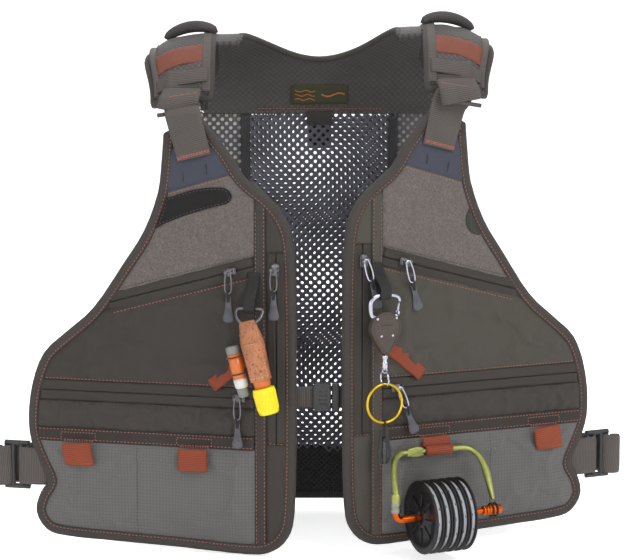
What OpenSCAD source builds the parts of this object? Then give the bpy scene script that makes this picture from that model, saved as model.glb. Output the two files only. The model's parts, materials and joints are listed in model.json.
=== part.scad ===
// Fishing vest: mesh back, two pocketed front panels hung from padded shoulders,
// side straps, a sternum buckle and the small tools clipped to the fronts.
// Millimetres. +X is the viewer's right, -Y is the front, +Z is up.

/* [Front panels] */
// Gap between the two inner edges
front_gap = 43.5; // [36:0.5:60]
// Front face of the inner edges, measured from the shoulder axis plane
front_y = -105; // [-115:1:-95]
// Angle by which the panel on the viewer's left turns back
left_turn = 14; // [10:1:20]
// Angle by which the panel on the viewer's right turns back
right_turn = 25; // [20:1:28]
// Lift of the right hem above the left hem
right_lift = 8; // [0:1:12]
// Lift of the right shoulder pad and buckle above the left ones
shoulder_lift = 9; // [0:1:12]
// Thickness of the padded shell
shell_t = 4; // [3:0.5:5]
// Width of the binding sewn round each panel
binding_w = 8.5; // [7:0.5:9]

/* [Pockets] */
// Height at which the hem pocket ends
hem_pocket_top = 100; // [96:1:102]
// Bottom edge of the lower zip
low_zip_z = 138; // [134:1:142]
// Width of the lower zip and of the vertical zip
zip_w = 20; // [18:1:21]
// Depth of a pocket in front of the shell
pocket_t = 7.3; // [4:0.1:7.3]

/* [Back] */
// Distance from the shoulder axis plane to the middle of the back sheet
back_y = 80; // [76:1:84]
// Half width of the flat part of the back
back_flat = 105; // [95:1:110]
// Top of the mesh, where the yoke starts
yoke_z = 399; // [390:1:405]
// Top of the lumbar pocket
lumbar_z = 58; // [50:1:80]

/* [Shoulders] */
// Middle of each shoulder pad, sideways
pad_x = 131; // [126:1:136]
// Width of each shoulder pad
pad_w = 60; // [54:1:62]
// Thickness of each shoulder pad
pad_t = 8; // [6:1:10]

/* [Straps] */
// Width of the side webbing
side_web_w = 38; // [30:1:38]
// Width of the shoulder webbing
shoulder_web_w = 33; // [25:1:35]

/* [Tippet holder] */
// Radius of one line spool
spool_r = 34; // [28:0.5:34]
// Width of one line spool
spool_w = 8.2; // [8:0.1:8.4]
// Radius of the spool axle
axle_r = 2.5; // [2:0.1:2.5]

/* [Hidden] */
$fn = 48;
SHOULDER_Y = 15;         // shoulder axis, front to back
GAP = 0.2;               // air between two sewn layers
RUN = 0.05;              // radial play of a pin in its hole
ORIGIN = [-9.2, -13.9, 1]; // middle of the footprint, at the lowest point

NAVY = [0.29, 0.30, 0.35];
NYLON = [0.33, 0.31, 0.28];
BINDING = [0.37, 0.35, 0.32];
FLEECE = [0.47, 0.44, 0.42];
RIPSTOP = [0.44, 0.44, 0.43];
RUST = [0.54, 0.25, 0.15];
WEBBING = [0.36, 0.34, 0.31];
BLACK = [0.12, 0.12, 0.12];
STEEL = [0.62, 0.63, 0.66];
GREY = [0.38, 0.38, 0.40];
LEATHER = [0.62, 0.42, 0.28];
LIME = [0.62, 0.68, 0.32];
ORANGE = [0.88, 0.38, 0.08];
YELLOW = [0.95, 0.86, 0.05];

LEFT = -1;
RIGHT = 1;
PANEL_TOP_Z = 398;       // where the shoulder webbing leaves a panel
LAYER_1 = shell_t + GAP; // first sewn layer in front of the shell
LAYER_T = 1.8;           // thickness of a flat sewn layer
LAYER_2 = LAYER_1 + LAYER_T + GAP;
ZIP_T = 2.8;             // thickness of a zip with its tapes
POCKET_FRONT = LAYER_1 + pocket_t;
EDGE = binding_w + 0.5;  // sewn layers stop this far inside the outline

// ---- curves ----

// Point at t between p[i] and p[i + 1] on a Catmull-Rom curve
function curve_at(p, i, t) =
    let (a = p[max(i - 1, 0)], b = p[i], c = p[i + 1], d = p[min(i + 2, len(p) - 1)])
    0.5 * (2 * b + (c - a) * t + (2 * a - 5 * b + 4 * c - d) * t * t
        + (3 * b - a - 3 * c + d) * t * t * t);

// Smooth open curve through the points p, n steps to each span
function curve(p, n) = concat(
    [for (i = [0:len(p) - 2]) for (k = [0:n - 1]) curve_at(p, i, k / n)],
    [p[len(p) - 1]]);

function left_normal(v) = [-v[1], v[0]] / norm(v);

// Counter-clockwise outline p moved inward by d
function inset(p, d) = let (n = len(p)) [
    for (i = [0:n - 1])
        let (
            a = left_normal(p[i] - p[(i + n - 1) % n]),
            b = left_normal(p[(i + 1) % n] - p[i]),
            m = (a + b) / norm(a + b))
        p[i] + m * d / max(m * a, 0.5)];

// Two round ends of radius r0 at [0, 0] and r1 at [0, d], joined by tangents
function teardrop(r0, r1, d, n) = let (f = asin((r0 - r1) / d)) concat(
    [for (i = [0:n]) let (a = 180 - f + i * (180 + 2 * f) / n) r0 * [cos(a), sin(a)]],
    [for (i = [0:n]) let (a = f + i * (180 - 2 * f) / n) [0, d] + r1 * [cos(a), sin(a)]]);

// Panel edge from the inner end of the shoulder seam, down, round the hem and up the armhole
PANEL_EDGE = curve([
    [90, 406], [64, 376], [48, 352], [25, 334], [10, 316], [2, 290], [0, 221],
    [0, 104], [2, 40], [8, 18], [22, 5], [45, 1], [113, 4], [173, 6], [223, 8],
    [243, 13], [253, 30], [248, 48], [241, 60], [248, 76], [257, 98], [259, 122],
    [255, 152], [243, 182], [219, 204], [193, 227], [164, 268], [143, 300], [129, 336],
    [125, 366], [123, 391]], 3);
PANEL_INSIDE = inset(PANEL_EDGE, EDGE);

// ---- placing ----

module shifted() translate(-ORIGIN) children();

module panel_frame(turn, lift)
    translate([front_gap / 2, front_y, lift]) rotate([0, 0, turn]) children();

// A front panel's own frame: X runs outward from the inner edge, -Y points forward
module on_panel(side) shifted() {
    if (side == RIGHT) panel_frame(right_turn, right_lift) children();
    else mirror([1, 0, 0]) panel_frame(left_turn, 0) children();
}

// An upright slab whose back face lies `depth` in front of the shell's back
module slab(depth, thick)
    translate([0, -depth, 0]) rotate([90, 0, 0]) linear_extrude(thick) children();

// A sewn layer: the polygon p cut off by the inside of the binding
module sewn(p, depth, thick) intersection() {
    slab(depth, thick) polygon(PANEL_INSIDE);
    slab(depth, thick) polygon(p);
}

module box(low, high) translate(low) cube(high - low);

// Round bar from p to q
module bar(p, q, r) {
    v = q - p;
    translate(p) rotate([0, acos(v[2] / norm(v)), atan2(v[1], v[0])])
        cylinder(h = norm(v), r = r);
}

// Round wire through the points p with ball corners, larger than the wire by `proud`
module wire(p, r, proud = 0.04) {
    for (i = [0:len(p) - 2]) bar(p[i], p[i + 1], r);
    for (i = [0:len(p) - 1]) translate(p[i]) sphere(r + proud);
}

// Cylinder along X, centred on p
module pin_x(p, r, length)
    translate(p - [length / 2, 0, 0]) rotate([0, 90, 0]) cylinder(h = length, r = r);

// Cylinder along Y, centred on p
module pin_y(p, r, length)
    translate(p + [0, length / 2, 0]) rotate([90, 0, 0]) cylinder(h = length, r = r);

// Part of a tube round the shoulder axis; angles rise from the back over the top
module shoulder_tube(x0, x1, r0, r1, a0, a1)
    translate([0, SHOULDER_Y, yoke_z]) rotate([0, 90, 0]) rotate([0, 0, 90 + a0])
        rotate_extrude(angle = a1 - a0, $fn = 96)
            translate([r0, x0]) square([r1 - r0, x1 - x0]);

// ---- back ----

BACK_CORNER = 85;        // outer radius of the rounded back corners
BACK_OUT = SHOULDER_Y + back_y + 2;

// Upright sheet: flat across the back, quarter rounds at the sides
module back_sheet(z0, z1, t) {
    box([-back_flat, BACK_OUT - t, z0], [back_flat, BACK_OUT, z1]);
    for (s = [0, 1]) mirror([s, 0, 0])
        translate([back_flat, BACK_OUT - BACK_CORNER, z0]) rotate_extrude(angle = 90, $fn = 96)
            translate([BACK_CORNER - t, 0]) square([t, z1 - z0]);
}

ARMHOLE = curve([[200, 190], [186, 222], [165, 250], [145, 290], [128, 340], [118, 400]], 4);

module back_mesh() color(NAVY) shifted() intersection() {
    back_sheet(lumbar_z + GAP, yoke_z - GAP, 4);
    translate([0, BACK_OUT + 1, 0]) rotate([90, 0, 0]) linear_extrude(BACK_CORNER + 2)
        polygon(concat(
            [[-200, 0], [200, 0]], ARMHOLE,
            [for (i = [len(ARMHOLE) - 1:-1:0]) [-ARMHOLE[i][0], ARMHOLE[i][1]]]));
}

module lumbar_pocket() color(BLACK) shifted() back_sheet(9, lumbar_z, 5);

NECK_R = 76;             // radius of the neck opening seen from above
YOKE_R = back_y + 2;

YOKE_X = pad_x - pad_w / 2 - GAP;

module back_yoke() color(NYLON) shifted() difference() {
    union() {
        shoulder_tube(-YOKE_X, YOKE_X, YOKE_R - 4, YOKE_R, 0.5, 112);
        shoulder_tube(-YOKE_X - 14, YOKE_X + 14, YOKE_R - 4, YOKE_R, 0.5, 24);
    }
    translate([0, -1, yoke_z - 10]) cylinder(h = 110, r = NECK_R, $fn = 96);
}

RING_BORE = 8;

module net_ring() color(STEEL) shifted() difference() {
    union() {
        pin_x([0, BACK_OUT + 19, 385], 14, 5);
        box([-6, BACK_OUT + GAP, 375], [6, BACK_OUT + 6, 395]);
        box([-2.5, BACK_OUT + 5, 378], [2.5, BACK_OUT + 10, 392]);
    }
    pin_x([0, BACK_OUT + 19, 385], RING_BORE, 20);
}

// ---- shoulders ----

PAD_R = YOKE_R - 6;
PAD_DROP = 7;            // the left pad lies this far below the yoke's curve
PAD_BACK = 35;           // angle at which a pad ends behind the shoulder
PAD_FRONT = 158;         // angle at which a pad ends in front

// Height of one shoulder above the left one
function lift_of(s) = s == RIGHT ? shoulder_lift : 0;

module shoulder_pads() color(NYLON) shifted()
    for (s = [-1, 1]) translate([0, 0, lift_of(s) - PAD_DROP])
        shoulder_tube(s * pad_x - pad_w / 2, s * pad_x + pad_w / 2,
            PAD_R, PAD_R + pad_t, PAD_BACK, PAD_FRONT);

SHOULDER_PIVOT = [126, -66, 421];

// Ladder buckle: a frame with two slots, one on each side of its middle bar
module ladder_buckle(w, h, t, slot) difference() {
    box([-w / 2, -t / 2, -h / 2], [w / 2, t / 2, h / 2]);
    for (s = [-1, 1])
        box([s * w / 5 - w / 10, -t, -slot / 2], [s * w / 5 + w / 10, t, slot / 2]);
}

module shoulder_buckles() color(BLACK) shifted()
    for (s = [-1, 1])
        translate([s * SHOULDER_PIVOT[0], SHOULDER_PIVOT[1], SHOULDER_PIVOT[2] + lift_of(s)])
            rotate([0, 90, 0]) ladder_buckle(9, shoulder_web_w + 8, 5, shoulder_web_w);

// ---- sides ----

SIDE_Z = 73;             // middle height of the side webbing
SIDE_U = 273;            // middle of the side buckle in a panel's frame

module side_buckles() color(BLACK)
    for (side = [LEFT, RIGHT]) on_panel(side)
        translate([SIDE_U, 0, SIDE_Z - (side == RIGHT ? right_lift : 0)])
            ladder_buckle(26, side_web_w + 8, 6, side_web_w);

// Point u, v of a panel's frame seen from above, in the vest's frame
function from_above(turn, u, v) =
    [front_gap / 2 + u * cos(turn) - v * sin(turn), front_y + u * sin(turn) + v * cos(turn)];

// Webbing from the buckle back to the mesh, seen from above
function side_line(turn) = [
    [back_flat + BACK_CORNER + 4, SHOULDER_Y - 2],
    from_above(turn, SIDE_U - 8, 11),
    from_above(turn, SIDE_U + 16, 6)];

module web_path(p, t, h)
    for (i = [0:len(p) - 2]) let (n = left_normal(p[i + 1] - p[i]) * t / 2)
        linear_extrude(h) polygon([p[i] - n, p[i + 1] - n, p[i + 1] + n, p[i] + n]);

module side_straps() color(WEBBING) shifted() translate([0, 0, SIDE_Z - side_web_w / 2]) {
    web_path(side_line(right_turn), 2, side_web_w);
    mirror([1, 0, 0]) web_path(side_line(left_turn), 2, side_web_w);
}

// ---- front panels ----

PLACKET_U = 27;          // the strip beside the vertical zip starts here
BODY_U = 38;             // pockets start here
LOW_ZIP_TOP = low_zip_z + zip_w;
WAIST_TOP = low_zip_z - GAP;
WAIST_BOTTOM = hem_pocket_top + 12;

// The slanting chest zip: height of its two edges at u
function chest_zip_top(u) = 281 - (u - 36) * 0.286;
function chest_zip_bottom(u) = 263 - (u - 36) * 0.26;
CHEST_ANGLE = -15.2;

module front_shell(side) color(NYLON) on_panel(side)
    slab(0, shell_t) polygon(PANEL_EDGE);

module edge_binding(side) color(BINDING) on_panel(side) difference() {
    slab(LAYER_1, LAYER_T + 0.5) polygon(PANEL_EDGE);
    slab(LAYER_1 - 1, LAYER_T + 3) polygon(inset(PANEL_EDGE, binding_w));
}

module fleece_panel(side) color(FLEECE) on_panel(side)
    sewn([[BODY_U, chest_zip_top(BODY_U) + GAP], [190, chest_zip_top(190) + GAP], [190, 330],
        [123, 336], [60, 355], [BODY_U, 362]], LAYER_1, LAYER_T);

module chest_pocket(side) color(NYLON) on_panel(side)
    sewn([[BODY_U, LOW_ZIP_TOP + GAP], [262, LOW_ZIP_TOP + GAP],
        [262, chest_zip_bottom(262) - GAP], [BODY_U, chest_zip_bottom(BODY_U) - GAP]],
        LAYER_1, pocket_t);

module waist_pocket(side) color(NYLON) on_panel(side)
    sewn([[BODY_U, WAIST_BOTTOM], [262, WAIST_BOTTOM], [262, WAIST_TOP], [BODY_U, WAIST_TOP]],
        LAYER_1, pocket_t);

module hem_pocket(side) color(RIPSTOP) on_panel(side)
    sewn([[BODY_U, 0], [262, 0], [262, hem_pocket_top], [BODY_U, hem_pocket_top]],
        LAYER_1, pocket_t);

module zip_tapes(side) color(BLACK) on_panel(side) {
    sewn([[BODY_U, chest_zip_bottom(BODY_U)], [262, chest_zip_bottom(262)],
        [262, chest_zip_top(262)], [BODY_U, chest_zip_top(BODY_U)]], LAYER_1, ZIP_T);
    sewn([[BODY_U, low_zip_z], [262, low_zip_z], [262, LOW_ZIP_TOP], [BODY_U, LOW_ZIP_TOP]],
        LAYER_1, ZIP_T);
    sewn([[0, 106], [PLACKET_U - 1, 106], [PLACKET_U - 1, 284], [0, 284]], LAYER_1, ZIP_T);
}

TAB_DEPTH = POCKET_FRONT + GAP;
TAB_Z = [78, 98];
BOW_BAR = [0, -16.6, 88]; // top bar of the tippet holder
BAR_R = 3;

// A folded webbing tab sewn to the top of the hem pocket
module tool_tab(u, thick) box([u - 14, -TAB_DEPTH - thick, TAB_Z[0]], [u + 14, -TAB_DEPTH, TAB_Z[1]]);

LOOP_U = [38, 31];       // middle of the hanging loops, left and right
LOOP_BAR = [[-20, 234], [-24, 238]]; // bar in each loop: depth and height
LOOP_BACK = [POCKET_FRONT + GAP, LAYER_1 + ZIP_T + GAP]; // depth of each loop's back
LOOP_PIN = [1.5, 1.75];  // radius of that bar

// A hanging loop of narrow webbing round the bar at [depth, height]
module hanging_loop(u, at, pin_r, w, back) difference() {
    union() {
        box([u - w / 2, -back - 2, at[1] - 4], [u + w / 2, -back, 262]);
        box([u - w / 2, at[0] - 4, at[1] - 4], [u + w / 2, -back - 1, at[1] + 4]);
    }
    pin_x([u, at[0], at[1]], pin_r + RUN, w * 2);
}

TAB_U = [[96, 210], [91, 210]]; // middle of the two tabs, left and right

module tool_tabs(side) color(RUST) on_panel(side) {
    k = side == RIGHT ? 1 : 0;
    tool_tab(TAB_U[k][1], 2);
    if (side == LEFT) tool_tab(TAB_U[k][0], 2);
    else difference() {
        tool_tab(TAB_U[k][0], 9.5);
        pin_x([TAB_U[k][0], BOW_BAR[1], BOW_BAR[2]], BAR_R + RUN, 60);
    }
    hanging_loop(LOOP_U[k], LOOP_BAR[k], LOOP_PIN[k], 11, LOOP_BACK[k]);
}

module shoulder_webbing(side) color(WEBBING) on_panel(side)
    translate([95, 0, 376]) rotate([0, 15, 0])
        box([-shoulder_web_w / 2, -LAYER_2 - 3, 0], [shoulder_web_w / 2, -LAYER_2 - 1, 34]);

module hook_loop_patch() color(BLACK) on_panel(LEFT)
    sewn(curve([[58, 336], [62, 329], [80, 324], [102, 317], [126, 307], [150, 294],
        [140, 328], [118, 333], [92, 341], [66, 343], [58, 336]], 4), LAYER_2, 1.5);

module magnet_patch() color(BLACK) on_panel(RIGHT) intersection() {
    slab(LAYER_2, 1.5) polygon(PANEL_INSIDE);
    pin_y([137, -LAYER_2, 301], 14, 8);
}

// ---- sternum buckle ----

STERNUM_Z = 148;
STERNUM_Y = front_y + 13;

module sternum_socket() color(BLACK) shifted() difference() {
    union() {
        box([-6, STERNUM_Y - 4, STERNUM_Z - 13], [11, STERNUM_Y + 4, STERNUM_Z + 13]);
        translate([0, 0, STERNUM_Z - 10]) web_path(
            [[-44, STERNUM_Y - 6.2], [-16, STERNUM_Y - 0.6], [-5.5, STERNUM_Y]], 2, 20);
    }
    box([-4, STERNUM_Y - 2.2, STERNUM_Z - 10.5], [12, STERNUM_Y + 2.2, STERNUM_Z + 10.5]);
}

module sternum_plug() color(BLACK) shifted() {
    for (s = [-1, 0, 1])
        box([-3, STERNUM_Y - 2, STERNUM_Z + s * 8 - 2], [12, STERNUM_Y + 2, STERNUM_Z + s * 8 + 2]);
    box([11.4, STERNUM_Y - 3.5, STERNUM_Z - 13], [19, STERNUM_Y + 3.5, STERNUM_Z + 13]);
}

// ---- zip sliders and pulls ----

PIN_R = 0.8;             // bail pin of a slider
PULL_Y = -13.8;          // depth of that pin
// Each slider's place on its panel and the angle of its zip
CHEST_U = 60;
CHEST_AT = [CHEST_U, (chest_zip_top(CHEST_U) + chest_zip_bottom(CHEST_U)) / 2];
VERTICAL_AT = [17, 269];
LOW_AT = [52, low_zip_z + zip_w / 2];
// Lean of the pulls of the right chest, vertical and low zips
LEAN = [14, -16, 21];

module at_zip(side, at) on_panel(side) translate([at[0], 0, at[1]]) children();

// A slider on a zip at `angle`; its bail and pull lean outward by `lean`
module slider(side, at, angle, lean = 0) color(STEEL) at_zip(side, at) {
    rotate([0, -angle, 0]) box([-6, -11.6, -4], [6, -LAYER_1 - ZIP_T - GAP, 4]);
    rotate([0, -lean, 0]) {
        for (s = [0, 1]) mirror([s, 0, 0]) box([2.6, -15, -1.5], [3.8, -11.5, 1.5]);
        pin_x([0, PULL_Y, 0], PIN_R, 7.2);
    }
}

module pull(side, at, lean = 0) color(GREY) at_zip(side, at) rotate([0, -lean, 0]) difference() {
    union() {
        pin_x([0, PULL_Y, 0], 1.9, 4.6);
        box([-1.6, PULL_Y - 1.1, -22], [1.6, PULL_Y + 1.1, -0.5]);
        box([-5, PULL_Y - 1.6, -46], [5, PULL_Y + 1.3, -21]);
    }
    pin_x([0, PULL_Y, 0], PIN_R + RUN, 12);
}

// ---- retractor and tools on the right ----

R_U = 31;                // all of it hangs in one line
R_Y = -24;
R_BAR_Z = 238;
CASE_Z = 208.5;          // middle of the case's round head
CASE_R = 15;
CLIP_R = 1.75;
GATE = [44, R_Y, 222.6]; // gate hinge

module retractor_carabiner() color(STEEL) on_panel(RIGHT) {
    wire([[46, R_Y, 233], [38.5, R_Y, R_BAR_Z], [23.5, R_Y, R_BAR_Z], [16.5, R_Y, 232],
        [18.4, R_Y, 219], [44, R_Y, 219]], CLIP_R);
    for (s = [-1, 1])
        box([42.9, R_Y + s * 2 - 0.4, 219], [45.1, R_Y + s * 2 + 0.4, 224]);
    pin_y(GATE, 0.6, 4.6);
}

module carabiner_gate() color(STEEL) on_panel(RIGHT) difference() {
    union() {
        pin_y(GATE, 1.5, 2.8);
        bar(GATE + [0.15, 0, 1], GATE + [1.4, 0, 8], 0.9);
    }
    pin_y(GATE, 0.6 + RUN, 8);
}

module retractor_case() color([0.41, 0.35, 0.31]) on_panel(RIGHT) difference() {
    translate([R_U, 0, CASE_Z]) mirror([0, 0, 1]) slab(19, 10)
        polygon(teardrop(CASE_R, 6, 18.5, 24));
    pin_x([R_U, R_Y, 219], CLIP_R + RUN, 40);
}

SPLIT_Z = 161.5;
SPLIT_R = 8;
TOOL_RING_R = 18;
TOOL_RING_Z = SPLIT_Z - SPLIT_R + 2.7 - TOOL_RING_R;

module torus(r, wire_r) rotate_extrude() translate([r, 0]) circle(wire_r, $fn = 24);

module retractor_end() color(STEEL) on_panel(RIGHT) translate([R_U, R_Y, 0]) {
    translate([0, 0, 169]) cylinder(h = 14.4, r = 3);
    translate([0, 0, SPLIT_Z]) rotate([0, 90, 0]) torus(SPLIT_R, 1);
}

module tool_ring() color(YELLOW) on_panel(RIGHT)
    translate([R_U, R_Y, TOOL_RING_Z]) rotate([90, 0, 0]) torus(TOOL_RING_R, 1.2);

NIPPER_Z = TOOL_RING_Z - TOOL_RING_R;

module line_nipper() color(BLACK) on_panel(RIGHT) difference() {
    union() {
        pin_x([R_U, R_Y, NIPPER_Z], 2.8, 3);
        box([R_U - 1.5, R_Y - 1.5, NIPPER_Z - 6], [R_U + 1.5, R_Y + 1.5, NIPPER_Z - 2]);
        box([R_U - 4, R_Y - 2.5, NIPPER_Z - 38], [R_U + 4, R_Y + 2.5, NIPPER_Z - 5]);
    }
    pin_x([R_U, R_Y, NIPPER_Z], 1.5, 10);
}

// ---- tippet holder ----

AXLE = [30, -50, 34];    // elbow of the axle
SLEEVE_R = 4.6;
SPOOL_U = 55;            // left face of the first spool
SPOOL_STEP = 8.6;

module tippet_bow() color(LIME) on_panel(RIGHT) difference() {
    union() {
        bar([AXLE[0] + 0.5, AXLE[1] + 0.9, 56], [36, -34, 73], BAR_R);
        wire([[36, -34, 73], [50, BOW_BAR[1], BOW_BAR[2]],
            [124, BOW_BAR[1], BOW_BAR[2]], [131, -27, 79], [131.5, -50, 43]], BAR_R, 0.3);
        translate([AXLE[0], AXLE[1], 41]) cylinder(h = 18, r = SLEEVE_R);
    }
    translate([AXLE[0], AXLE[1], 30]) cylinder(h = 23, r = axle_r + RUN);
}

module tippet_rod() color(ORANGE) on_panel(RIGHT) {
    wire([[AXLE[0], AXLE[1], 50], AXLE, [124, AXLE[1], AXLE[2]]], axle_r);
    pin_x([130, AXLE[1], AXLE[2]], 4.8, 20);
}

module tippet_spool(k) color(BLACK) on_panel(RIGHT)
    translate([SPOOL_U + k * SPOOL_STEP, AXLE[1], AXLE[2]]) rotate([0, 90, 0])
        rotate_extrude($fn = 96) polygon([
            [axle_r + RUN, 0], [spool_r, 0], [spool_r, 1.2], [spool_r - 5, 2],
            [spool_r - 5, spool_w - 2], [spool_r, spool_w - 1.2], [spool_r, spool_w],
            [axle_r + RUN, spool_w]]);

// ---- floatant holder on the left ----

HOLD_TILT = 14;
BOTTLE_R = 8.1;

module holder_ring() color(STEEL) on_panel(LEFT) {
    bar_z = LOOP_BAR[0][1];
    wire([[26, -20, bar_z], [50, -20, bar_z], [48, -26, 226], [43, -30, 221.5],
        [33, -30, 221.5], [28, -26, 226], [26, -20, bar_z]], LOOP_PIN[0]);
}

module in_holder() on_panel(LEFT) translate([36, -30, 217]) rotate([0, HOLD_TILT, 0]) children();

module floatant_holder() color(LEATHER) in_holder() difference() {
    box([-10.5, -9.5, -48], [10.5, 9.5, 0]);
    translate([0, 0, -50]) cylinder(h = 45, r = BOTTLE_R + RUN);
}

module floatant_bottle() color(ORANGE) in_holder() {
    translate([0, 0, -54]) cylinder(h = 48, r = BOTTLE_R);
    translate([0, 0, -64]) cylinder(h = 12, r = 4);
}

module floatant_cap() color(YELLOW) in_holder() difference() {
    translate([0, 0, -80]) cylinder(h = 25, r = 10.5);
    translate([0, 0, -65]) cylinder(h = 12, r = 4 + RUN);
}

module desiccant_bottle() color(ORANGE) in_holder() translate([19, 1, 0]) {
    translate([0, 0, -52]) cylinder(h = 40, r = 6.5);
    translate([0, 0, -60]) cylinder(h = 9, r = 4.5);
}

// ---- nodes ----

back_yoke();
back_mesh();
lumbar_pocket();
net_ring();
shoulder_pads();
shoulder_buckles();
side_straps();
side_buckles();
front_shell(LEFT);  // left_front_shell
edge_binding(LEFT);  // left_edge_binding
fleece_panel(LEFT);  // left_fleece_panel
chest_pocket(LEFT);  // left_chest_pocket
waist_pocket(LEFT);  // left_waist_pocket
hem_pocket(LEFT);  // left_hem_pocket
zip_tapes(LEFT);  // left_zip_tapes
tool_tabs(LEFT);  // left_tool_tabs
shoulder_webbing(LEFT);  // left_shoulder_webbing
front_shell(RIGHT);  // right_front_shell
edge_binding(RIGHT);  // right_edge_binding
fleece_panel(RIGHT);  // right_fleece_panel
chest_pocket(RIGHT);  // right_chest_pocket
waist_pocket(RIGHT);  // right_waist_pocket
hem_pocket(RIGHT);  // right_hem_pocket
zip_tapes(RIGHT);  // right_zip_tapes
tool_tabs(RIGHT);  // right_tool_tabs
shoulder_webbing(RIGHT);  // right_shoulder_webbing
hook_loop_patch();
magnet_patch();
sternum_socket();
sternum_plug();
slider(LEFT, CHEST_AT, CHEST_ANGLE);  // left_chest_slider
slider(LEFT, VERTICAL_AT, 90);  // left_vertical_slider
slider(LEFT, LOW_AT, 0);  // left_low_slider
slider(RIGHT, CHEST_AT, CHEST_ANGLE, LEAN[0]);  // right_chest_slider
slider(RIGHT, VERTICAL_AT, 90, LEAN[1]);  // right_vertical_slider
slider(RIGHT, LOW_AT, 0, LEAN[2]);  // right_low_slider
pull(LEFT, CHEST_AT);  // left_chest_pull
pull(LEFT, VERTICAL_AT);  // left_vertical_pull
pull(LEFT, LOW_AT);  // left_low_pull
pull(RIGHT, CHEST_AT, LEAN[0]);  // right_chest_pull
pull(RIGHT, VERTICAL_AT, LEAN[1]);  // right_vertical_pull
pull(RIGHT, LOW_AT, LEAN[2]);  // right_low_pull
retractor_carabiner();
carabiner_gate();
retractor_case();
retractor_end();
tool_ring();
line_nipper();
tippet_bow();
tippet_rod();
tippet_spool(0);  // tippet_spool_1
tippet_spool(1);  // tippet_spool_2
tippet_spool(2);  // tippet_spool_3
tippet_spool(3);  // tippet_spool_4
tippet_spool(4);  // tippet_spool_5
holder_ring();
floatant_holder();
floatant_bottle();
floatant_cap();
desiccant_bottle();
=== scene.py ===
# Fishing vest: cloth, webbing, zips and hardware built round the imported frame.
import json
import math

import bmesh
import bpy
import numpy as np
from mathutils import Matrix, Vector, geometry, noise
from mathutils.bvhtree import BVHTree


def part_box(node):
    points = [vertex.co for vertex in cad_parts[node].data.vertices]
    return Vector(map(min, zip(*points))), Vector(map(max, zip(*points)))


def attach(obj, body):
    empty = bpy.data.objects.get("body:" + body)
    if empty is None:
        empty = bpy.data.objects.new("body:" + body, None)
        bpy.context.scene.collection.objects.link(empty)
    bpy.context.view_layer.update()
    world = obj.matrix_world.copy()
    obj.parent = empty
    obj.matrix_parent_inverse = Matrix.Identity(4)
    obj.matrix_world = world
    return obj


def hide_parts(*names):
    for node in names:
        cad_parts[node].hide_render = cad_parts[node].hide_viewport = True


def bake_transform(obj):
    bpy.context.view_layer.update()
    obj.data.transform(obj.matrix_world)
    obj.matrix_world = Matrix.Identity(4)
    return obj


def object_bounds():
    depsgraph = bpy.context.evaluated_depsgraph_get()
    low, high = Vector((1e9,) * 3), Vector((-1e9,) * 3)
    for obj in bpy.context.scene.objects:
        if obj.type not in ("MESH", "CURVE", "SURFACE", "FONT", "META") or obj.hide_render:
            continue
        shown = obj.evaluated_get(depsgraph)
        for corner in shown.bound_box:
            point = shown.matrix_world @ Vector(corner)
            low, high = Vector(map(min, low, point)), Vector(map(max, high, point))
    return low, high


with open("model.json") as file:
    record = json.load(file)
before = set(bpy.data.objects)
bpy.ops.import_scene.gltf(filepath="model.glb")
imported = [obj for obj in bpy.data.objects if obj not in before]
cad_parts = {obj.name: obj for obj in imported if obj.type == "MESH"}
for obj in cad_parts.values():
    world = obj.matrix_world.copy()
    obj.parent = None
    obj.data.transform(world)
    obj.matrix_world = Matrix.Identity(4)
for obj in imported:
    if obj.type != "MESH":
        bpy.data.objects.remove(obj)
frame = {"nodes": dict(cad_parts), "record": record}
cad_low, cad_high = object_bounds()
NODES = frame["nodes"]
RECORD = frame["record"]
JOINTS = {j["name"]: j for j in RECORD["behaviour"]["joints"]}
MOUNTS = {m["name"]: m for m in RECORD["mounts"]}
MM = 0.001

# ---------------------------------------------------------------- materials


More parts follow.
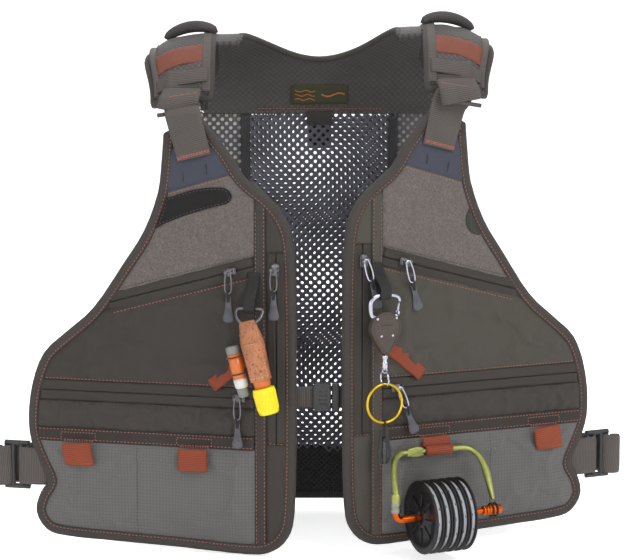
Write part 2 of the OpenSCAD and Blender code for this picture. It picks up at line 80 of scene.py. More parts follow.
class Shader:
    """A Principled material with short helpers for its nodes."""

    def __init__(self, name, rough=0.8, metal=0.0, sheen=0.0, coat=0.0):
        self.mat = bpy.data.materials.new(name)
        self.mat.use_nodes = True
        self.tree = self.mat.node_tree
        self.bsdf = self.tree.nodes["Principled BSDF"]
        self.bsdf.inputs["Roughness"].default_value = rough
        self.bsdf.inputs["Metallic"].default_value = metal
        self.bsdf.inputs["Sheen Weight"].default_value = sheen
        self.bsdf.inputs["Coat Weight"].default_value = coat
        where = self.tree.nodes.new("ShaderNodeAttribute")
        where.attribute_name = "cloth"
        self.cloth = where.outputs["Vector"]
        self.object = self.tree.nodes.new("ShaderNodeTexCoord").outputs["Object"]
        self.split = self.tree.nodes.new("ShaderNodeSeparateXYZ")
        self.link(self.cloth, self.split.inputs[0])
        self.across, self.along = self.split.outputs[0], self.split.outputs[1]

    def link(self, a, b):
        self.tree.links.new(a, b)

    def put(self, socket, value):
        if isinstance(value, bpy.types.NodeSocket):
            self.link(value, socket)
        else:
            socket.default_value = value

    def math(self, op, a, b=0.0, c=0.0):
        node = self.tree.nodes.new("ShaderNodeMath")
        node.operation = op
        for i, value in enumerate((a, b, c)):
            self.put(node.inputs[i], value)
        return node.outputs[0]

    def noise(self, scale, detail=3.0, rough=0.6, on=None):
        node = self.tree.nodes.new("ShaderNodeTexNoise")
        self.link(on or self.object, node.inputs["Vector"])
        node.inputs["Scale"].default_value = scale
        node.inputs["Detail"].default_value = detail
        node.inputs["Roughness"].default_value = rough
        return node.outputs["Fac"]

    def voronoi(self, scale, on=None):
        node = self.tree.nodes.new("ShaderNodeTexVoronoi")
        self.link(on or self.object, node.inputs["Vector"])
        node.inputs["Scale"].default_value = scale
        return node.outputs["Distance"]

    def ramp(self, value, low, high, a=0.0, b=1.0):
        node = self.tree.nodes.new("ShaderNodeMapRange")
        node.clamp = True
        self.link(value, node.inputs[0])
        for i, v in enumerate((low, high, a, b)):
            node.inputs[i + 1].default_value = v
        return node.outputs[0]

    def mix(self, fac, a, b, blend="MIX"):
        node = self.tree.nodes.new("ShaderNodeMix")
        node.data_type = "RGBA"
        node.blend_type = blend
        self.put(node.inputs[0], fac)
        self.put(node.inputs[6], a)
        self.put(node.inputs[7], b)
        return node.outputs[2]

    def wave(self, value, pitch):
        """0 to 1 ripple of a coordinate in millimetres."""
        turn = self.math("MULTIPLY", value, 2 * math.pi / pitch)
        return self.math("MULTIPLY_ADD", self.math("SINE", turn), 0.5, 0.5)

    def line(self, value, pitch, width):
        """1 on thin lines every pitch millimetres."""
        part = self.math("FRACT", self.math("DIVIDE", value, pitch))
        off = self.math("ABSOLUTE", self.math("SUBTRACT", part, 0.5))
        return self.ramp(off, 0.5 - width / pitch, 0.5 - 0.4 * width / pitch)

    def color(self, value):
        self.put(self.bsdf.inputs["Base Color"], value)

    def rough(self, value):
        self.put(self.bsdf.inputs["Roughness"], value)

    def bump(self, height, distance, strength=1.0):
        node = self.tree.nodes.new("ShaderNodeBump")
        node.inputs["Strength"].default_value = strength
        node.inputs["Distance"].default_value = distance * MM
        self.link(height, node.inputs["Height"])
        previous = self.bsdf.inputs["Normal"]
        if previous.is_linked:
            self.link(previous.links[0].from_socket, node.inputs["Normal"])
        self.link(node.outputs[0], self.bsdf.inputs["Normal"])


def rgb(r, g, b):
    """Linear colour of 0 to 255 sRGB values."""
    def one(c):
        c /= 255
        return c / 12.92 if c <= 0.04045 else ((c + 0.055) / 1.055) ** 2.4
    return one(r), one(g), one(b), 1.0


def cloth_rgb(r, g, b, k=0.8):
    """Linear colour of dyed cloth, a little deeper than the value given."""
    return tuple(v * k for v in rgb(r, g, b)[:3]) + (1.0,)


def shade(c, k):
    return c[0] * k, c[1] * k, c[2] * k, 1.0


def woven(name, base, pitch=0.9, rough=0.75, vary=0.2, sheen=0.04, depth=0.12, dust=0.18, fold=0.0):
    """Plain woven cloth: crossing threads, slow fading and a dusty bloom on raised places."""
    s = Shader(name, rough, sheen=sheen)
    threads = s.math("MULTIPLY", s.wave(s.across, pitch), s.wave(s.along, pitch))
    slow = s.noise(9, 4)
    fine = s.noise(700, 2)
    c = s.mix(s.ramp(slow, 0.3, 0.7), shade(base, 1 - vary), shade(base, 1 + vary))
    c = s.mix(s.ramp(threads, 0.0, 0.55), shade(base, 0.62), c)
    c = s.mix(s.ramp(fine, 0.55, 0.8, 0.0, dust), c, shade(base, 1.7))
    s.color(c)
    s.rough(s.ramp(slow, 0.3, 0.7, rough - 0.08, rough + 0.1))
    s.bump(threads, depth)
    s.bump(s.noise(60, 3), 0.5, 0.25)
    if fold:
        s.bump(s.noise(17, 3, 0.45), fold, 0.8)
    return s.mat


def ripstop_cloth(name, base):
    """Close grid of thicker threads on a fine silvery weave."""
    s = Shader(name, 0.5, sheen=0.03)
    grid = s.math("MAXIMUM", s.line(s.across, 3.1, 0.42), s.line(s.along, 3.1, 0.42))
    weave = s.math("MULTIPLY", s.wave(s.across, 0.6), s.wave(s.along, 0.6))
    slow = s.noise(12, 4)
    c = s.mix(s.ramp(slow, 0.3, 0.7), shade(base, 0.86), shade(base, 1.14))
    c = s.mix(s.ramp(weave, 0, 0.5), shade(base, 0.75), c)
    c = s.mix(s.math("MULTIPLY", grid, 0.75), c, shade(base, 0.56))
    s.color(c)
    s.rough(s.ramp(slow, 0.3, 0.7, 0.42, 0.6))
    s.bump(s.noise(20, 3, 0.45), 3.5, 0.8)
    s.bump(s.math("MULTIPLY_ADD", grid, 1.0, weave), 0.12)
    return s.mat


def heather(name, base):
    """Brushed loop knit: light and dark fibres mixed, soft and matt."""
    s = Shader(name, 0.95, sheen=0.08)
    fleck = s.noise(520, 4, 0.75)
    blot = s.noise(130, 3, 0.7)
    c = s.mix(s.ramp(fleck, 0.34, 0.66), shade(base, 0.62), shade(base, 1.4))
    c = s.mix(s.ramp(blot, 0.35, 0.65, 0.0, 0.5), c, shade(base, 0.72))
    s.color(c)
    s.bump(s.noise(900, 3, 0.8), 0.45)
    s.bump(s.noise(220, 2), 0.6, 0.6)
    return s.mat


def ribbed(name, base, rib=1.5, rough=0.7, fleck=0.25):
    """Webbing: ribs across it and fine crossing threads."""
    s = Shader(name, rough, sheen=0.03)
    ribs = s.wave(s.along, rib)
    warp = s.wave(s.across, 1.1)
    both = s.math("MULTIPLY_ADD", ribs, 0.7, s.math("MULTIPLY", warp, 0.3))
    worn = s.noise(35, 4)
    c = s.mix(s.ramp(both, 0.1, 0.75), shade(base, 0.5), shade(base, 1.12))
    c = s.mix(s.ramp(worn, 0.5, 0.75, 0.0, fleck), c, shade(base, 1.5))
    s.color(c)
    s.bump(both, 0.25)
    return s.mat


def embossed(name, base, pitch=6.0):
    """Back-yoke cloth pressed with a diamond pattern."""
    s = Shader(name, 0.72, sheen=0.04)
    up = s.math("ADD", s.along, s.across)
    down = s.math("SUBTRACT", s.along, s.across)
    lines = s.math("MAXIMUM", s.line(up, pitch, 1.1), s.line(down, pitch, 1.1))
    slow = s.noise(14, 4)
    c = s.mix(s.ramp(slow, 0.3, 0.7), shade(base, 0.85), shade(base, 1.2))
    c = s.mix(s.math("MULTIPLY", lines, 0.55), c, shade(base, 0.4))
    s.color(c)
    s.bump(s.math("SUBTRACT", 1.0, lines), 0.5)
    s.bump(s.noise(800, 2), 0.15)
    return s.mat


def net_yarn(name, base):
    s = Shader(name, 0.6, sheen=0.05)
    slow = s.noise(30, 3)
    c = s.mix(s.ramp(slow, 0.3, 0.7), shade(base, 0.7), shade(base, 1.35))
    s.color(s.mix(s.ramp(s.noise(900, 2), 0.4, 0.7, 0.0, 0.5), c, shade(base, 0.5)))
    s.bump(s.noise(1200, 2), 0.3)
    return s.mat


def pile(name, base):
    s = Shader(name, 0.95, sheen=0.02)
    hooks = s.noise(1100, 3, 0.8)
    s.color(s.mix(s.ramp(hooks, 0.4, 0.65), shade(base, 0.5), shade(base, 1.5)))
    s.bump(hooks, 0.7)
    return s.mat


def thread(name, base):
    s = Shader(name, 0.6, sheen=0.3)
    twist = s.noise(900, 2)
    s.color(s.mix(s.ramp(twist, 0.35, 0.65), shade(base, 0.7), shade(base, 1.2)))
    s.bump(twist, 0.2)
    return s.mat


def leather_hide(name, base):
    """Copper leather with dark specks and pores."""
    s = Shader(name, 0.45, coat=0.15)
    slow = s.noise(45, 4)
    c = s.mix(s.ramp(slow, 0.3, 0.7), shade(base, 0.62), shade(base, 1.25))
    speck = s.ramp(s.noise(380, 3, 0.7), 0.56, 0.66)
    c = s.mix(speck, c, shade(base, 0.22))
    s.color(c)
    s.rough(s.ramp(slow, 0.3, 0.7, 0.38, 0.6))
    s.bump(s.voronoi(650), 0.3)
    return s.mat


def moulded(name, base, rough=0.45, grain=0.08, coat=0.0, worn=0.3):
    """Moulded plastic or rubber: fine grain, rubbed places and a mottled gloss."""
    s = Shader(name, rough, coat=coat)
    rub = s.noise(60, 5, 0.7)
    s.color(s.mix(s.ramp(rub, 0.5, 0.75, 0.0, worn), base, shade(base, 1.7)))
    s.rough(s.ramp(rub, 0.3, 0.7, rough - 0.08, rough + 0.14))
    s.bump(s.noise(1400, 2), grain)
    return s.mat


def metal(name, base, rough=0.3, scuff=0.5):
    """Plated or anodised metal: fine scratches and dulled, rubbed places."""
    s = Shader(name, rough, metal=1.0)
    rub = s.noise(90, 5, 0.7)
    s.color(s.mix(s.ramp(rub, 0.45, 0.8, 0.0, scuff), base, shade(base, 0.6)))
    s.rough(s.ramp(rub, 0.3, 0.7, rough - 0.08, rough + 0.18))
    s.bump(s.noise(1600, 3, 0.8), 0.03)
    return s.mat


def streaked(name, base, rough=0.6):
    """Smooth cloth-covered or printed surface with slow streaks."""
    s = Shader(name, rough)
    s.color(s.mix(s.ramp(s.noise(40, 4), 0.35, 0.65), shade(base, 0.8), shade(base, 1.15)))
    s.bump(s.noise(900, 2), 0.15)
    return s.mat


M = {
    # nylon_left is the same nylon as nylon_right, painted darker as shade for the left front panel
    "nylon_left": woven("nylon_left", cloth_rgb(67, 61, 55), fold=9.0),
    "nylon_right": woven("nylon_right", cloth_rgb(86, 81, 72), fold=9.0),
    "waist": woven("waist", cloth_rgb(71, 65, 60), fold=9.0),
    "tape": woven("tape", cloth_rgb(56, 49, 43), pitch=1.3, fold=2.0),
    "binding": ribbed("binding", cloth_rgb(70, 64, 59), rib=1.1, rough=0.75, fleck=0.15),
    "navy": woven("navy", cloth_rgb(74, 77, 92)),
    "fleece": heather("fleece", cloth_rgb(114, 106, 101)),
    "ripstop": ripstop_cloth("ripstop", cloth_rgb(118, 116, 114)),
    "lining": woven("lining", cloth_rgb(60, 58, 54)),
    "yoke": embossed("yoke", cloth_rgb(88, 84, 81)),
    "net": net_yarn("net", cloth_rgb(92, 92, 102)),
    # net_light: the back lining's own pale cream, brightened past the other cloths (k=1.0) as painted light for back
    # light shining through the thin cloth
    "net_light": net_yarn("net_light", cloth_rgb(246, 238, 216, 1.0)),
    "net_black": net_yarn("net_black", cloth_rgb(30, 28, 27)),
    "rust": ribbed("rust", cloth_rgb(154, 66, 32), rib=1.6),
    "rust_pad": ribbed("rust_pad", cloth_rgb(138, 72, 52), rib=1.6),
    "web": ribbed("web", cloth_rgb(93, 86, 81), rib=1.7),
    "web_black": ribbed("web_black", cloth_rgb(34, 33, 33), rib=1.4, fleck=0.1),
    "coral": thread("coral", rgb(160, 90, 72)),
    "tan_thread": thread("tan_thread", rgb(214, 170, 120)),
    "dark_thread": thread("dark_thread", rgb(40, 38, 36)),
    "zip": woven("zip", cloth_rgb(66, 60, 53), pitch=1.0, dust=0.1),
    "coil": moulded("coil", rgb(36, 35, 34), 0.35),
    "velcro": pile("velcro", cloth_rgb(31, 28, 27)),
    "magnet": woven("magnet", cloth_rgb(66, 62, 57)),
    "buckle": moulded("buckle", rgb(50, 49, 49), 0.42),
    "gun": metal("gun", rgb(120, 118, 120), 0.32),
    "chrome": metal("chrome", rgb(196, 198, 210), 0.16, 0.25),
    "rubber": moulded("rubber", rgb(84, 84, 90), 0.6, 0.12),
    "cord": ribbed("cord", rgb(40, 39, 40), rib=1.0),
    "case": moulded("case", rgb(72, 61, 54), 0.5, 0.1),
    "gold": metal("gold", rgb(226, 188, 44), 0.25),
    "black_steel": moulded("black_steel", rgb(34, 34, 36), 0.3, 0.05, worn=0.5),
    "lime": metal("lime", rgb(168, 172, 104), 0.46, 0.3),
    "orange": metal("orange", rgb(226, 98, 26), 0.28, 0.2),
    "sleeve": metal("sleeve", rgb(150, 152, 150), 0.35),
    "spool": moulded("spool", rgb(15, 15, 17), 0.34, 0.05),
    "band": streaked("band", rgb(172, 172, 178), 0.42),
    "leather": leather_hide("leather", rgb(176, 112, 72)),
    "bottle": moulded("bottle", rgb(206, 104, 24), 0.3, 0.03, coat=0.5, worn=0.1),
    "bottle_grey": moulded("bottle_grey", rgb(130, 128, 124), 0.4, 0.05),
    "yellow": moulded("yellow", rgb(250, 226, 6), 0.36, 0.05, coat=0.3, worn=0.05),
    "label": woven("label", cloth_rgb(72, 74, 44), pitch=0.8),
    "label_mark": thread("label_mark", rgb(176, 104, 52)),
    "white": moulded("white", rgb(214, 212, 206), 0.4, 0.04, worn=0.05),
}

# ---------------------------------------------------------------- mesh tools


def piece(name, verts, faces, material, cloth=None, smooth=True):
    """A new object from points in metres; cloth holds each point's place on the cloth in mm."""
    me = bpy.data.meshes.new(name)
    me.from_pydata([tuple(v) for v in np.asarray(verts, float)], [], [tuple(f) for f in faces])
    if cloth is not None:
        values = np.zeros((len(verts), 3), np.float32)
        values[:, :np.shape(cloth)[1]] = cloth
        me.attributes.new("cloth", "FLOAT_VECTOR", "POINT").data.foreach_set(
            "vector", values.ravel())
    bm = bmesh.new()
    bm.from_mesh(me)
    bmesh.ops.recalc_face_normals(bm, faces=bm.faces)
    bm.to_mesh(me)
    bm.free()
    for p in me.polygons:
        p.use_smooth = smooth
    me.materials.append(M[material])
    ob = bpy.data.objects.new(name, me)
    bpy.context.collection.objects.link(ob)
    return ob


def finish_piece(ob, body, slot, *nodes, bevel=0.0, subdiv=0):
    """Modifiers, body and the CAD nodes the piece stands for; slot is not used."""
    if bevel:
        mod = ob.modifiers.new("soft_edges", "BEVEL")
        mod.width = bevel * MM
        mod.segments = 3
        mod.limit_method = "ANGLE"
        mod.angle_limit = math.radians(40)
        mod.harden_normals = False
    if subdiv:
        mod = ob.modifiers.new("smooth", "SUBSURF")
        mod.levels = mod.render_levels = subdiv
    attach(ob, body)
    if nodes:
        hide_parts(*nodes)
    return ob


class Batch:
    """Collects small meshes that become one piece."""

    def __init__(self):
        self.verts, self.faces, self.cloth = [], [], []
        self.count = 0

    def add(self, verts, faces, cloth=None):
        verts = np.asarray(verts, float)
        self.verts.append(verts)
        self.faces += [tuple(int(i) + self.count for i in f) for f in faces]
        flat = np.zeros((len(verts), 3))
        if cloth is not None:
            flat[:, :np.shape(cloth)[1]] = cloth
        self.cloth.append(flat)
        self.count += len(verts)

    def piece(self, name, material, smooth=True):
        return piece(name, np.concatenate(self.verts), self.faces, material,
                     np.concatenate(self.cloth), smooth)


def unit(v):
    v = np.asarray(v, float)
    return v / np.maximum(np.linalg.norm(v, axis=-1, keepdims=True), 1e-12)


def smooth_path(points, step):
    """Catmull-Rom curve through points, resampled to even steps."""
    p = np.asarray(points, float)
    rows = []
    for i in range(len(p) - 1):
        a, b, c, d = p[max(i - 1, 0)], p[i], p[i + 1], p[min(i + 2, len(p) - 1)]
        for t in np.linspace(0, 1, 12, endpoint=False):
            rows.append(0.5 * (2 * b + (c - a) * t + (2 * a - 5 * b + 4 * c - d) * t * t
                               + (3 * b - a - 3 * c + d) * t ** 3))
    rows.append(p[-1])
    return resample(np.array(rows), step)


def resample(path, step, closed=False):
    path = np.asarray(path, float)
    if closed:
        path = np.vstack([path, path[:1]])
    length = np.concatenate([[0], np.cumsum(np.linalg.norm(np.diff(path, axis=0), axis=1))])
    count = max(int(round(length[-1] / step)), 2)
    at = np.linspace(0, length[-1], count + 1)
    out = np.stack([np.interp(at, length, path[:, k]) for k in range(path.shape[1])], 1)
    return out[:-1] if closed else out


def grid_faces(rows, cols, wrap=False):
    """Quads of a rows x cols lattice; wrap joins the last column to the first."""
    out = []
    for i in range(rows - 1):
        for j in range(cols if wrap else cols - 1):
            k = (j + 1) % cols
            out.append((i * cols + j, i * cols + k, (i + 1) * cols + k, (i + 1) * cols + j))
    return out


def frames_along(path, up=(0, 0, 1), closed=False):
    """Tangent, side and normal vectors along a path, turned as little as possible."""
    nxt = np.roll(path, -1, 0) if closed else np.vstack([path[1:], 2 * path[-1] - path[-2]])
    prv = np.roll(path, 1, 0) if closed else np.vstack([2 * path[0] - path[1], path[:-1]])
    tangent = unit(nxt - prv)
    normal = np.zeros_like(path)
    n = np.asarray(up, float)
    if abs(np.dot(unit(n), tangent[0])) > 0.95:
        n = np.array([0.3, 1.0, 0.2])
    for i, t in enumerate(tangent):
        n = n - np.dot(n, t) * t
        n = unit(n)
        normal[i] = n
    return tangent, np.cross(tangent, normal), normal


def tube(path, radius, sides=12, closed=False, cap=True, squash=1.0, up=(0, 0, 1)):
    """Verts, faces and cloth of a round bar along a path in metres; radius in mm."""
    path = np.asarray(path, float)
    _, side, normal = frames_along(path, up, closed)
    radius = np.broadcast_to(np.asarray(radius, float) * MM, (len(path),))
    a = np.linspace(0, 2 * math.pi, sides, endpoint=False)
    ring = (np.cos(a)[None, :, None] * side[:, None] + squash * np.sin(a)[None, :, None]
            * normal[:, None]) * radius[:, None, None]
    verts = (path[:, None] + ring).reshape(-1, 3)
    rows = len(path)
    faces = grid_faces(rows, sides, wrap=True)
    if closed:
        last = (rows - 1) * sides
        faces += [(last + j, last + (j + 1) % sides, (j + 1) % sides, j) for j in range(sides)]
    elif cap:
        faces += [tuple(range(sides)), tuple(range((rows - 1) * sides, rows * sides))]
    run = np.concatenate([[0], np.cumsum(np.linalg.norm(np.diff(path, axis=0), axis=1))]) / MM
    cloth = np.stack([np.tile(a * radius[0] / MM, rows), np.repeat(run, sides)], 1)
    return verts, faces, cloth


def ribbon(path, across, width, thick, cols=9, wave=0.0, seed=0.0):
    """Flat webbing along a path in metres. across is the direction of its width."""
    path = np.asarray(path, float)
    tangent, _, _ = frames_along(path)
    across = np.broadcast_to(np.asarray(across, float), path.shape)
    across = unit(across - (across * tangent).sum(1, keepdims=True) * tangent)
    normal = np.cross(tangent, across)
    t = np.linspace(-1, 1, cols)
    edge = np.sqrt(np.clip(1 - np.abs(t) ** 8, 0.0, 1)) * 0.5 + 0.02
    lift = np.array([[wave * noise.noise(Vector((seed + i * 0.13, k * 0.8, 3.1)))
                      for k in t] for i in range(len(path))])
    base = path[:, None] + across[:, None] * (t * width * MM / 2)[None, :, None]
    up = normal[:, None] * MM
    front = base + up * (edge[None, :] * thick + lift)[..., None]
    back = base + up * (-edge[None, :] * thick + lift)[..., None]
    ring = np.concatenate([front, back[:, ::-1]], 1)
    rows, sides = ring.shape[:2]
    faces = grid_faces(rows, sides, wrap=True)
    faces += [tuple(range(sides)), tuple(range((rows - 1) * sides, rows * sides))]
    run = np.concatenate([[0], np.cumsum(np.linalg.norm(np.diff(path, axis=0), axis=1))]) / MM
    wide = np.concatenate([t, t[::-1]]) * width / 2
    cloth = np.stack([np.tile(wide, rows), np.repeat(run, sides)], 1)
    return ring.reshape(-1, 3), faces, cloth


def lathe(profile, origin, axis, start=0.0, steps=40):
    """Solid of revolution: profile is (distance along axis, radius) in mm, closed on the axis."""
    axis = unit(axis)
    ref = np.array([0, 0, 1.0]) if abs(axis[2]) < 0.9 else np.array([1.0, 0, 0])
    side = unit(np.cross(axis, ref))
    other = np.cross(axis, side)
    a = np.linspace(0, 2 * math.pi, steps, endpoint=False) + start
    verts = []
    for h, r in profile:
        ring = (np.cos(a)[:, None] * side + np.sin(a)[:, None] * other) * max(r, 0.02) * MM
        verts.append(np.asarray(origin) + axis * h * MM + ring)
    rows = len(profile)
    faces = grid_faces(rows, steps, wrap=True)
    faces += [tuple(range(steps)), tuple(range((rows - 1) * steps, rows * steps))]
    return np.concatenate(verts), faces


def block(low, high, place):
    """A box between two corners, its points sent through place()."""
    c = np.array([[x, y, z] for x in (low[0], high[0]) for y in (low[1], high[1])
                  for z in (low[2], high[2])], float)
    faces = [(0, 1, 3, 2), (4, 6, 7, 5), (0, 4, 5, 1), (2, 3, 7, 6), (0, 2, 6, 4), (1, 5, 7, 3)]
    return place(c), faces


def edge_distance(points, loop):
    a = loop
    ab = np.roll(loop, -1, 0) - a
    best = np.full(len(points), 1e9)
    for s, d in zip(a, ab):
        t = np.clip(((points - s) @ d) / max(d @ d, 1e-12), 0, 1)
        best = np.minimum(best, np.linalg.norm(points - (s + t[:, None] * d), axis=1))
    return best


def inside(points, loop):
    a, b = loop, np.roll(loop, -1, 0)
    hit = np.zeros(len(points), bool)
    for p, q in zip(a, b):
        cross = (p[1] > points[:, 1]) != (q[1] > points[:, 1])
        x = (q[0] - p[0]) * (points[:, 1] - p[1]) / (q[1] - p[1] + 1e-15) + p[0]
        hit ^= cross & (points[:, 0] < x)
    return hit


def fill(loop, step):
    """Even triangles inside a closed 2D loop: points and faces, boundary points first."""
    edge = resample(loop, step, closed=True)
    low, high = edge.min(0), edge.max(0)
    rows = []
    height = step * math.sqrt(3) / 2
    for j in range(int((high[1] - low[1]) / height) + 1):
        x = np.arange(low[0] + (j % 2) * step / 2, high[0], step)
        rows.append(np.stack([x, np.full(len(x), low[1] + j * height)], 1))
    pts = np.concatenate(rows)
    pts = pts[inside(pts, edge)]
    pts = pts[edge_distance(pts, edge) > 0.6 * step]
    every = np.concatenate([edge, pts])
    n = len(edge)
    out = geometry.delaunay_2d_cdt(
        [Vector(p) for p in every], [(i, (i + 1) % n) for i in range(n)], [], 1, 1e-5)
    return np.array([tuple(v) for v in out[0]]), [tuple(f) for f in out[2]]


def rim(faces):
    """Ordered boundary loops of a face list."""
    count = {}
    for f in faces:
        for i in range(len(f)):
            e = (f[i], f[(i + 1) % len(f)])
            count[e] = True
    nxt = {a: b for a, b in count if (b, a) not in count}
    loops = []
    while nxt:
        first, at = next(iter(nxt.items()))
        loop = [first]
        del nxt[first]
        while at != first and at in nxt:
            loop.append(at)
            at = nxt.pop(at)
        loops.append(loop)
    return loops

# ---------------------------------------------------------------- front panel frame

SHELL_T = 4.0            # shell's thickness, mm
HEM_TOP = 100.0          # height of the hem pocket's top edge in a panel's frame, mm


class Panel:
    """A front panel's own frame in mm: u outward, f forward, z up."""

    def __init__(self, side):
        self.side = side
        self.name = "left" if side < 0 else "right"
        self.body = self.name + "_front"
        axis = MOUNTS["hook_loop_face" if side < 0 else "magnet_face"]["axis"]
        turn = math.atan2(abs(axis[0]), -axis[1])
        self.cos, self.sin = math.cos(turn), math.sin(turn)
        low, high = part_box(self.name + "_front_shell")
        self.x0 = (high[0] if side < 0 else low[0]) / MM
        self.y0 = low[1] / MM + SHELL_T * self.cos
        self.z0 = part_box(self.name + "_hem_pocket")[1][2] / MM - HEM_TOP

    def world(self, p):
        p = np.asarray(p, float)
        u, f, z = p[..., 0], p[..., 1], p[..., 2]
        x = self.x0 + self.side * (u * self.cos + f * self.sin)
        y = self.y0 + u * self.sin - f * self.cos
        return np.stack([x, y, z + self.z0], -1) * MM

    def local(self, p):
        p = np.asarray(p, float) / MM
        x = (p[..., 0] - self.x0) * self.side
        y = p[..., 1] - self.y0
        return np.stack([x * self.cos + y * self.sin, x * self.sin - y * self.cos,
                         p[..., 2] - self.z0], -1)

    def turn_vector(self, v):
        return self.world(v) - self.world([0, 0, 0])

    def joint(self, name):
        return self.local(JOINTS[name]["pos_m"])

    def loops(self, node):
        """Outlines (u, z) of a CAD node's forward-facing flat faces, largest first."""
        bm = bmesh.new()
        bm.from_mesh(NODES[node].data)
        bmesh.ops.remove_doubles(bm, verts=bm.verts, dist=2e-6)
        forward = Vector(unit(self.turn_vector([0, 1, 0])))
        # a dict keeps mesh order: a set of faces would start each loop at a chance place
        todo = dict.fromkeys(f for f in bm.faces if f.normal.dot(forward) > 0.999)
        found = []
        while todo:
            group, stack = [], [todo.popitem()[0]]
            while stack:
                f = stack.pop()
                group.append(f)
                for e in f.edges:
                    for g in e.link_faces:
                        if g in todo:
                            del todo[g]
                            stack.append(g)
            area = sum(f.calc_area() for f in group)
            index = [[v.index for v in f.verts] for f in group]
            loop = max(rim(index), key=len)
            bm.verts.ensure_lookup_table()
            pts = self.local(np.array([tuple(bm.verts[i].co) for i in loop]))
            found.append((area, pts))
        bm.free()
        found.sort(key=lambda item: -item[0])
        return [p[:, [0, 2]] for _, p in found]


PANELS = {-1: Panel(-1), 1: Panel(1)}


def sheet(panel, name, loop, material, back, front, crown=0.0, reach=12.0, step=4.0,
          wrinkle=0.0, grain=(0.02, 0.02), seed=0.0):
    """Closed cloth sheet in a panel's frame: crowned front, flat back. Returns the object."""
    pts, tris = fill(loop, step)
    d = edge_distance(pts, loop)
    rise = np.sin(np.clip(d / reach, 0, 1) * math.pi / 2)
    f = front + crown * rise
    if wrinkle:
        folds = np.array([noise.noise(Vector((p[0] * grain[0], p[1] * grain[1], seed)))
                          + 0.5 * noise.noise(Vector((p[0] * grain[0] * 2.3,
                                                      p[1] * grain[1] * 2.3, seed + 5)))
                          for p in pts])
        f = f + wrinkle * folds * (0.25 + 0.75 * rise)
    n = len(pts)
    lip = 0.75 * front + 0.25 * back
    top = np.stack([pts[:, 0], f, pts[:, 1]], 1)
    bottom = np.stack([pts[:, 0], np.full(n, back), pts[:, 1]], 1)
    faces = list(tris) + [tuple(n + i for i in reversed(t)) for t in tris]
    verts = [top, bottom]
    count = 2 * n
    for loop_ids in rim(tris):
        ids = np.array(loop_ids)
        middle = np.stack([pts[ids, 0], np.full(len(ids), lip), pts[ids, 1]], 1)
        outward = pts[ids] - pts[ids].mean(0)
        middle[:, [0, 2]] += 0.25 * outward / np.linalg.norm(outward, axis=1)[:, None]
        verts.append(middle)
        m = len(ids)
        for i in range(m):
            j = (i + 1) % m
            faces.append((int(ids[i]), int(ids[j]), count + j, count + i))
            faces.append((count + i, count + j, n + int(ids[j]), n + int(ids[i])))
        count += m
    local = np.concatenate(verts)
    ob = piece(name, panel.world(local), faces, material, local[:, [0, 2]])
    ob["free"] = n
    return ob


CLOTH_FRAMES = 16
soft = []


def puff(ob, panel, loop, pressure, grow, cap, edge=3.0):
    """Queues a cloth simulation of a sheet's front; its rim and back stay where they are."""
    soft.append((ob, panel, loop, pressure, grow, cap, edge))


def run_cloth():
    """Runs every queued sheet together and keeps the capped result."""
    if not soft:
        return
    scene = bpy.context.scene
    scene.frame_start, scene.frame_end = 1, CLOTH_FRAMES
    before = []
    for ob, panel, loop, pressure, grow, cap, edge in soft:
        co = np.array([tuple(v.co) for v in ob.data.vertices])
        local = panel.local(co)
        d = edge_distance(local[:, [0, 2]], loop)
        free = np.zeros(len(co), bool)
        free[:ob["free"]] = d[:ob["free"]] > edge
        group = ob.vertex_groups.new(name="held")
        group.add([int(i) for i in np.nonzero(~free)[0]], 1.0, "REPLACE")
        before.append((co, free))
        mod = ob.modifiers.new("cloth", "CLOTH")
        s = mod.settings
        s.quality = 4
        s.mass = 0.15
        s.tension_stiffness = s.compression_stiffness = 25
        s.shear_stiffness = 12
        s.bending_stiffness = 0.6
        s.use_pressure = True
        s.uniform_pressure_force = pressure
        s.shrink_min = -grow
        s.vertex_group_mass = "held"
        s.effector_weights.gravity = 0
        mod.collision_settings.use_collision = False
        mod.point_cache.frame_start = 1
        mod.point_cache.frame_end = CLOTH_FRAMES
    for f in range(1, CLOTH_FRAMES + 1):
        scene.frame_set(f)
    graph = bpy.context.evaluated_depsgraph_get()
    for (ob, panel, loop, pressure, grow, cap, edge), (co, free) in zip(soft, before):
        done = ob.evaluated_get(graph)
        new = np.array([tuple(v.co) for v in done.data.vertices])
        move = panel.local(new) - panel.local(co)
        move[~np.isfinite(move).all(1)] = 0
        move[:, 1] = np.clip(move[:, 1], -0.5 * cap, cap)
        move[:, [0, 2]] = np.clip(move[:, [0, 2]], -1.5, 1.5)
        move[~free] = 0
        local = panel.local(co) + move
        ob.modifiers.remove(ob.modifiers["cloth"])
        ob.vertex_groups.clear()
        ob.data.vertices.foreach_set("co", panel.world(local).ravel())
        ob.data.update()
    scene.frame_set(1)


class Surface:
    """Height of the front of some sheets above the panel's plane."""

    def __init__(self, panel, obs):
        self.panel = panel
        verts, faces, count = [], [], 0
        for ob in obs:
            co = panel.local(np.array([tuple(v.co) for v in ob.data.vertices]))
            verts.append(co)
            faces += [[i + count for i in p.vertices] for p in ob.data.polygons]
            count += len(co)
        flat = np.concatenate(verts)
        self.tree = BVHTree.FromPolygons([Vector(v) for v in flat], faces)

    def height(self, u, z, default=SHELL_T):
        hit = self.tree.ray_cast(Vector((u, 60, z)), Vector((0, -1, 0)))
        return hit[0][1] if hit[0] is not None else default


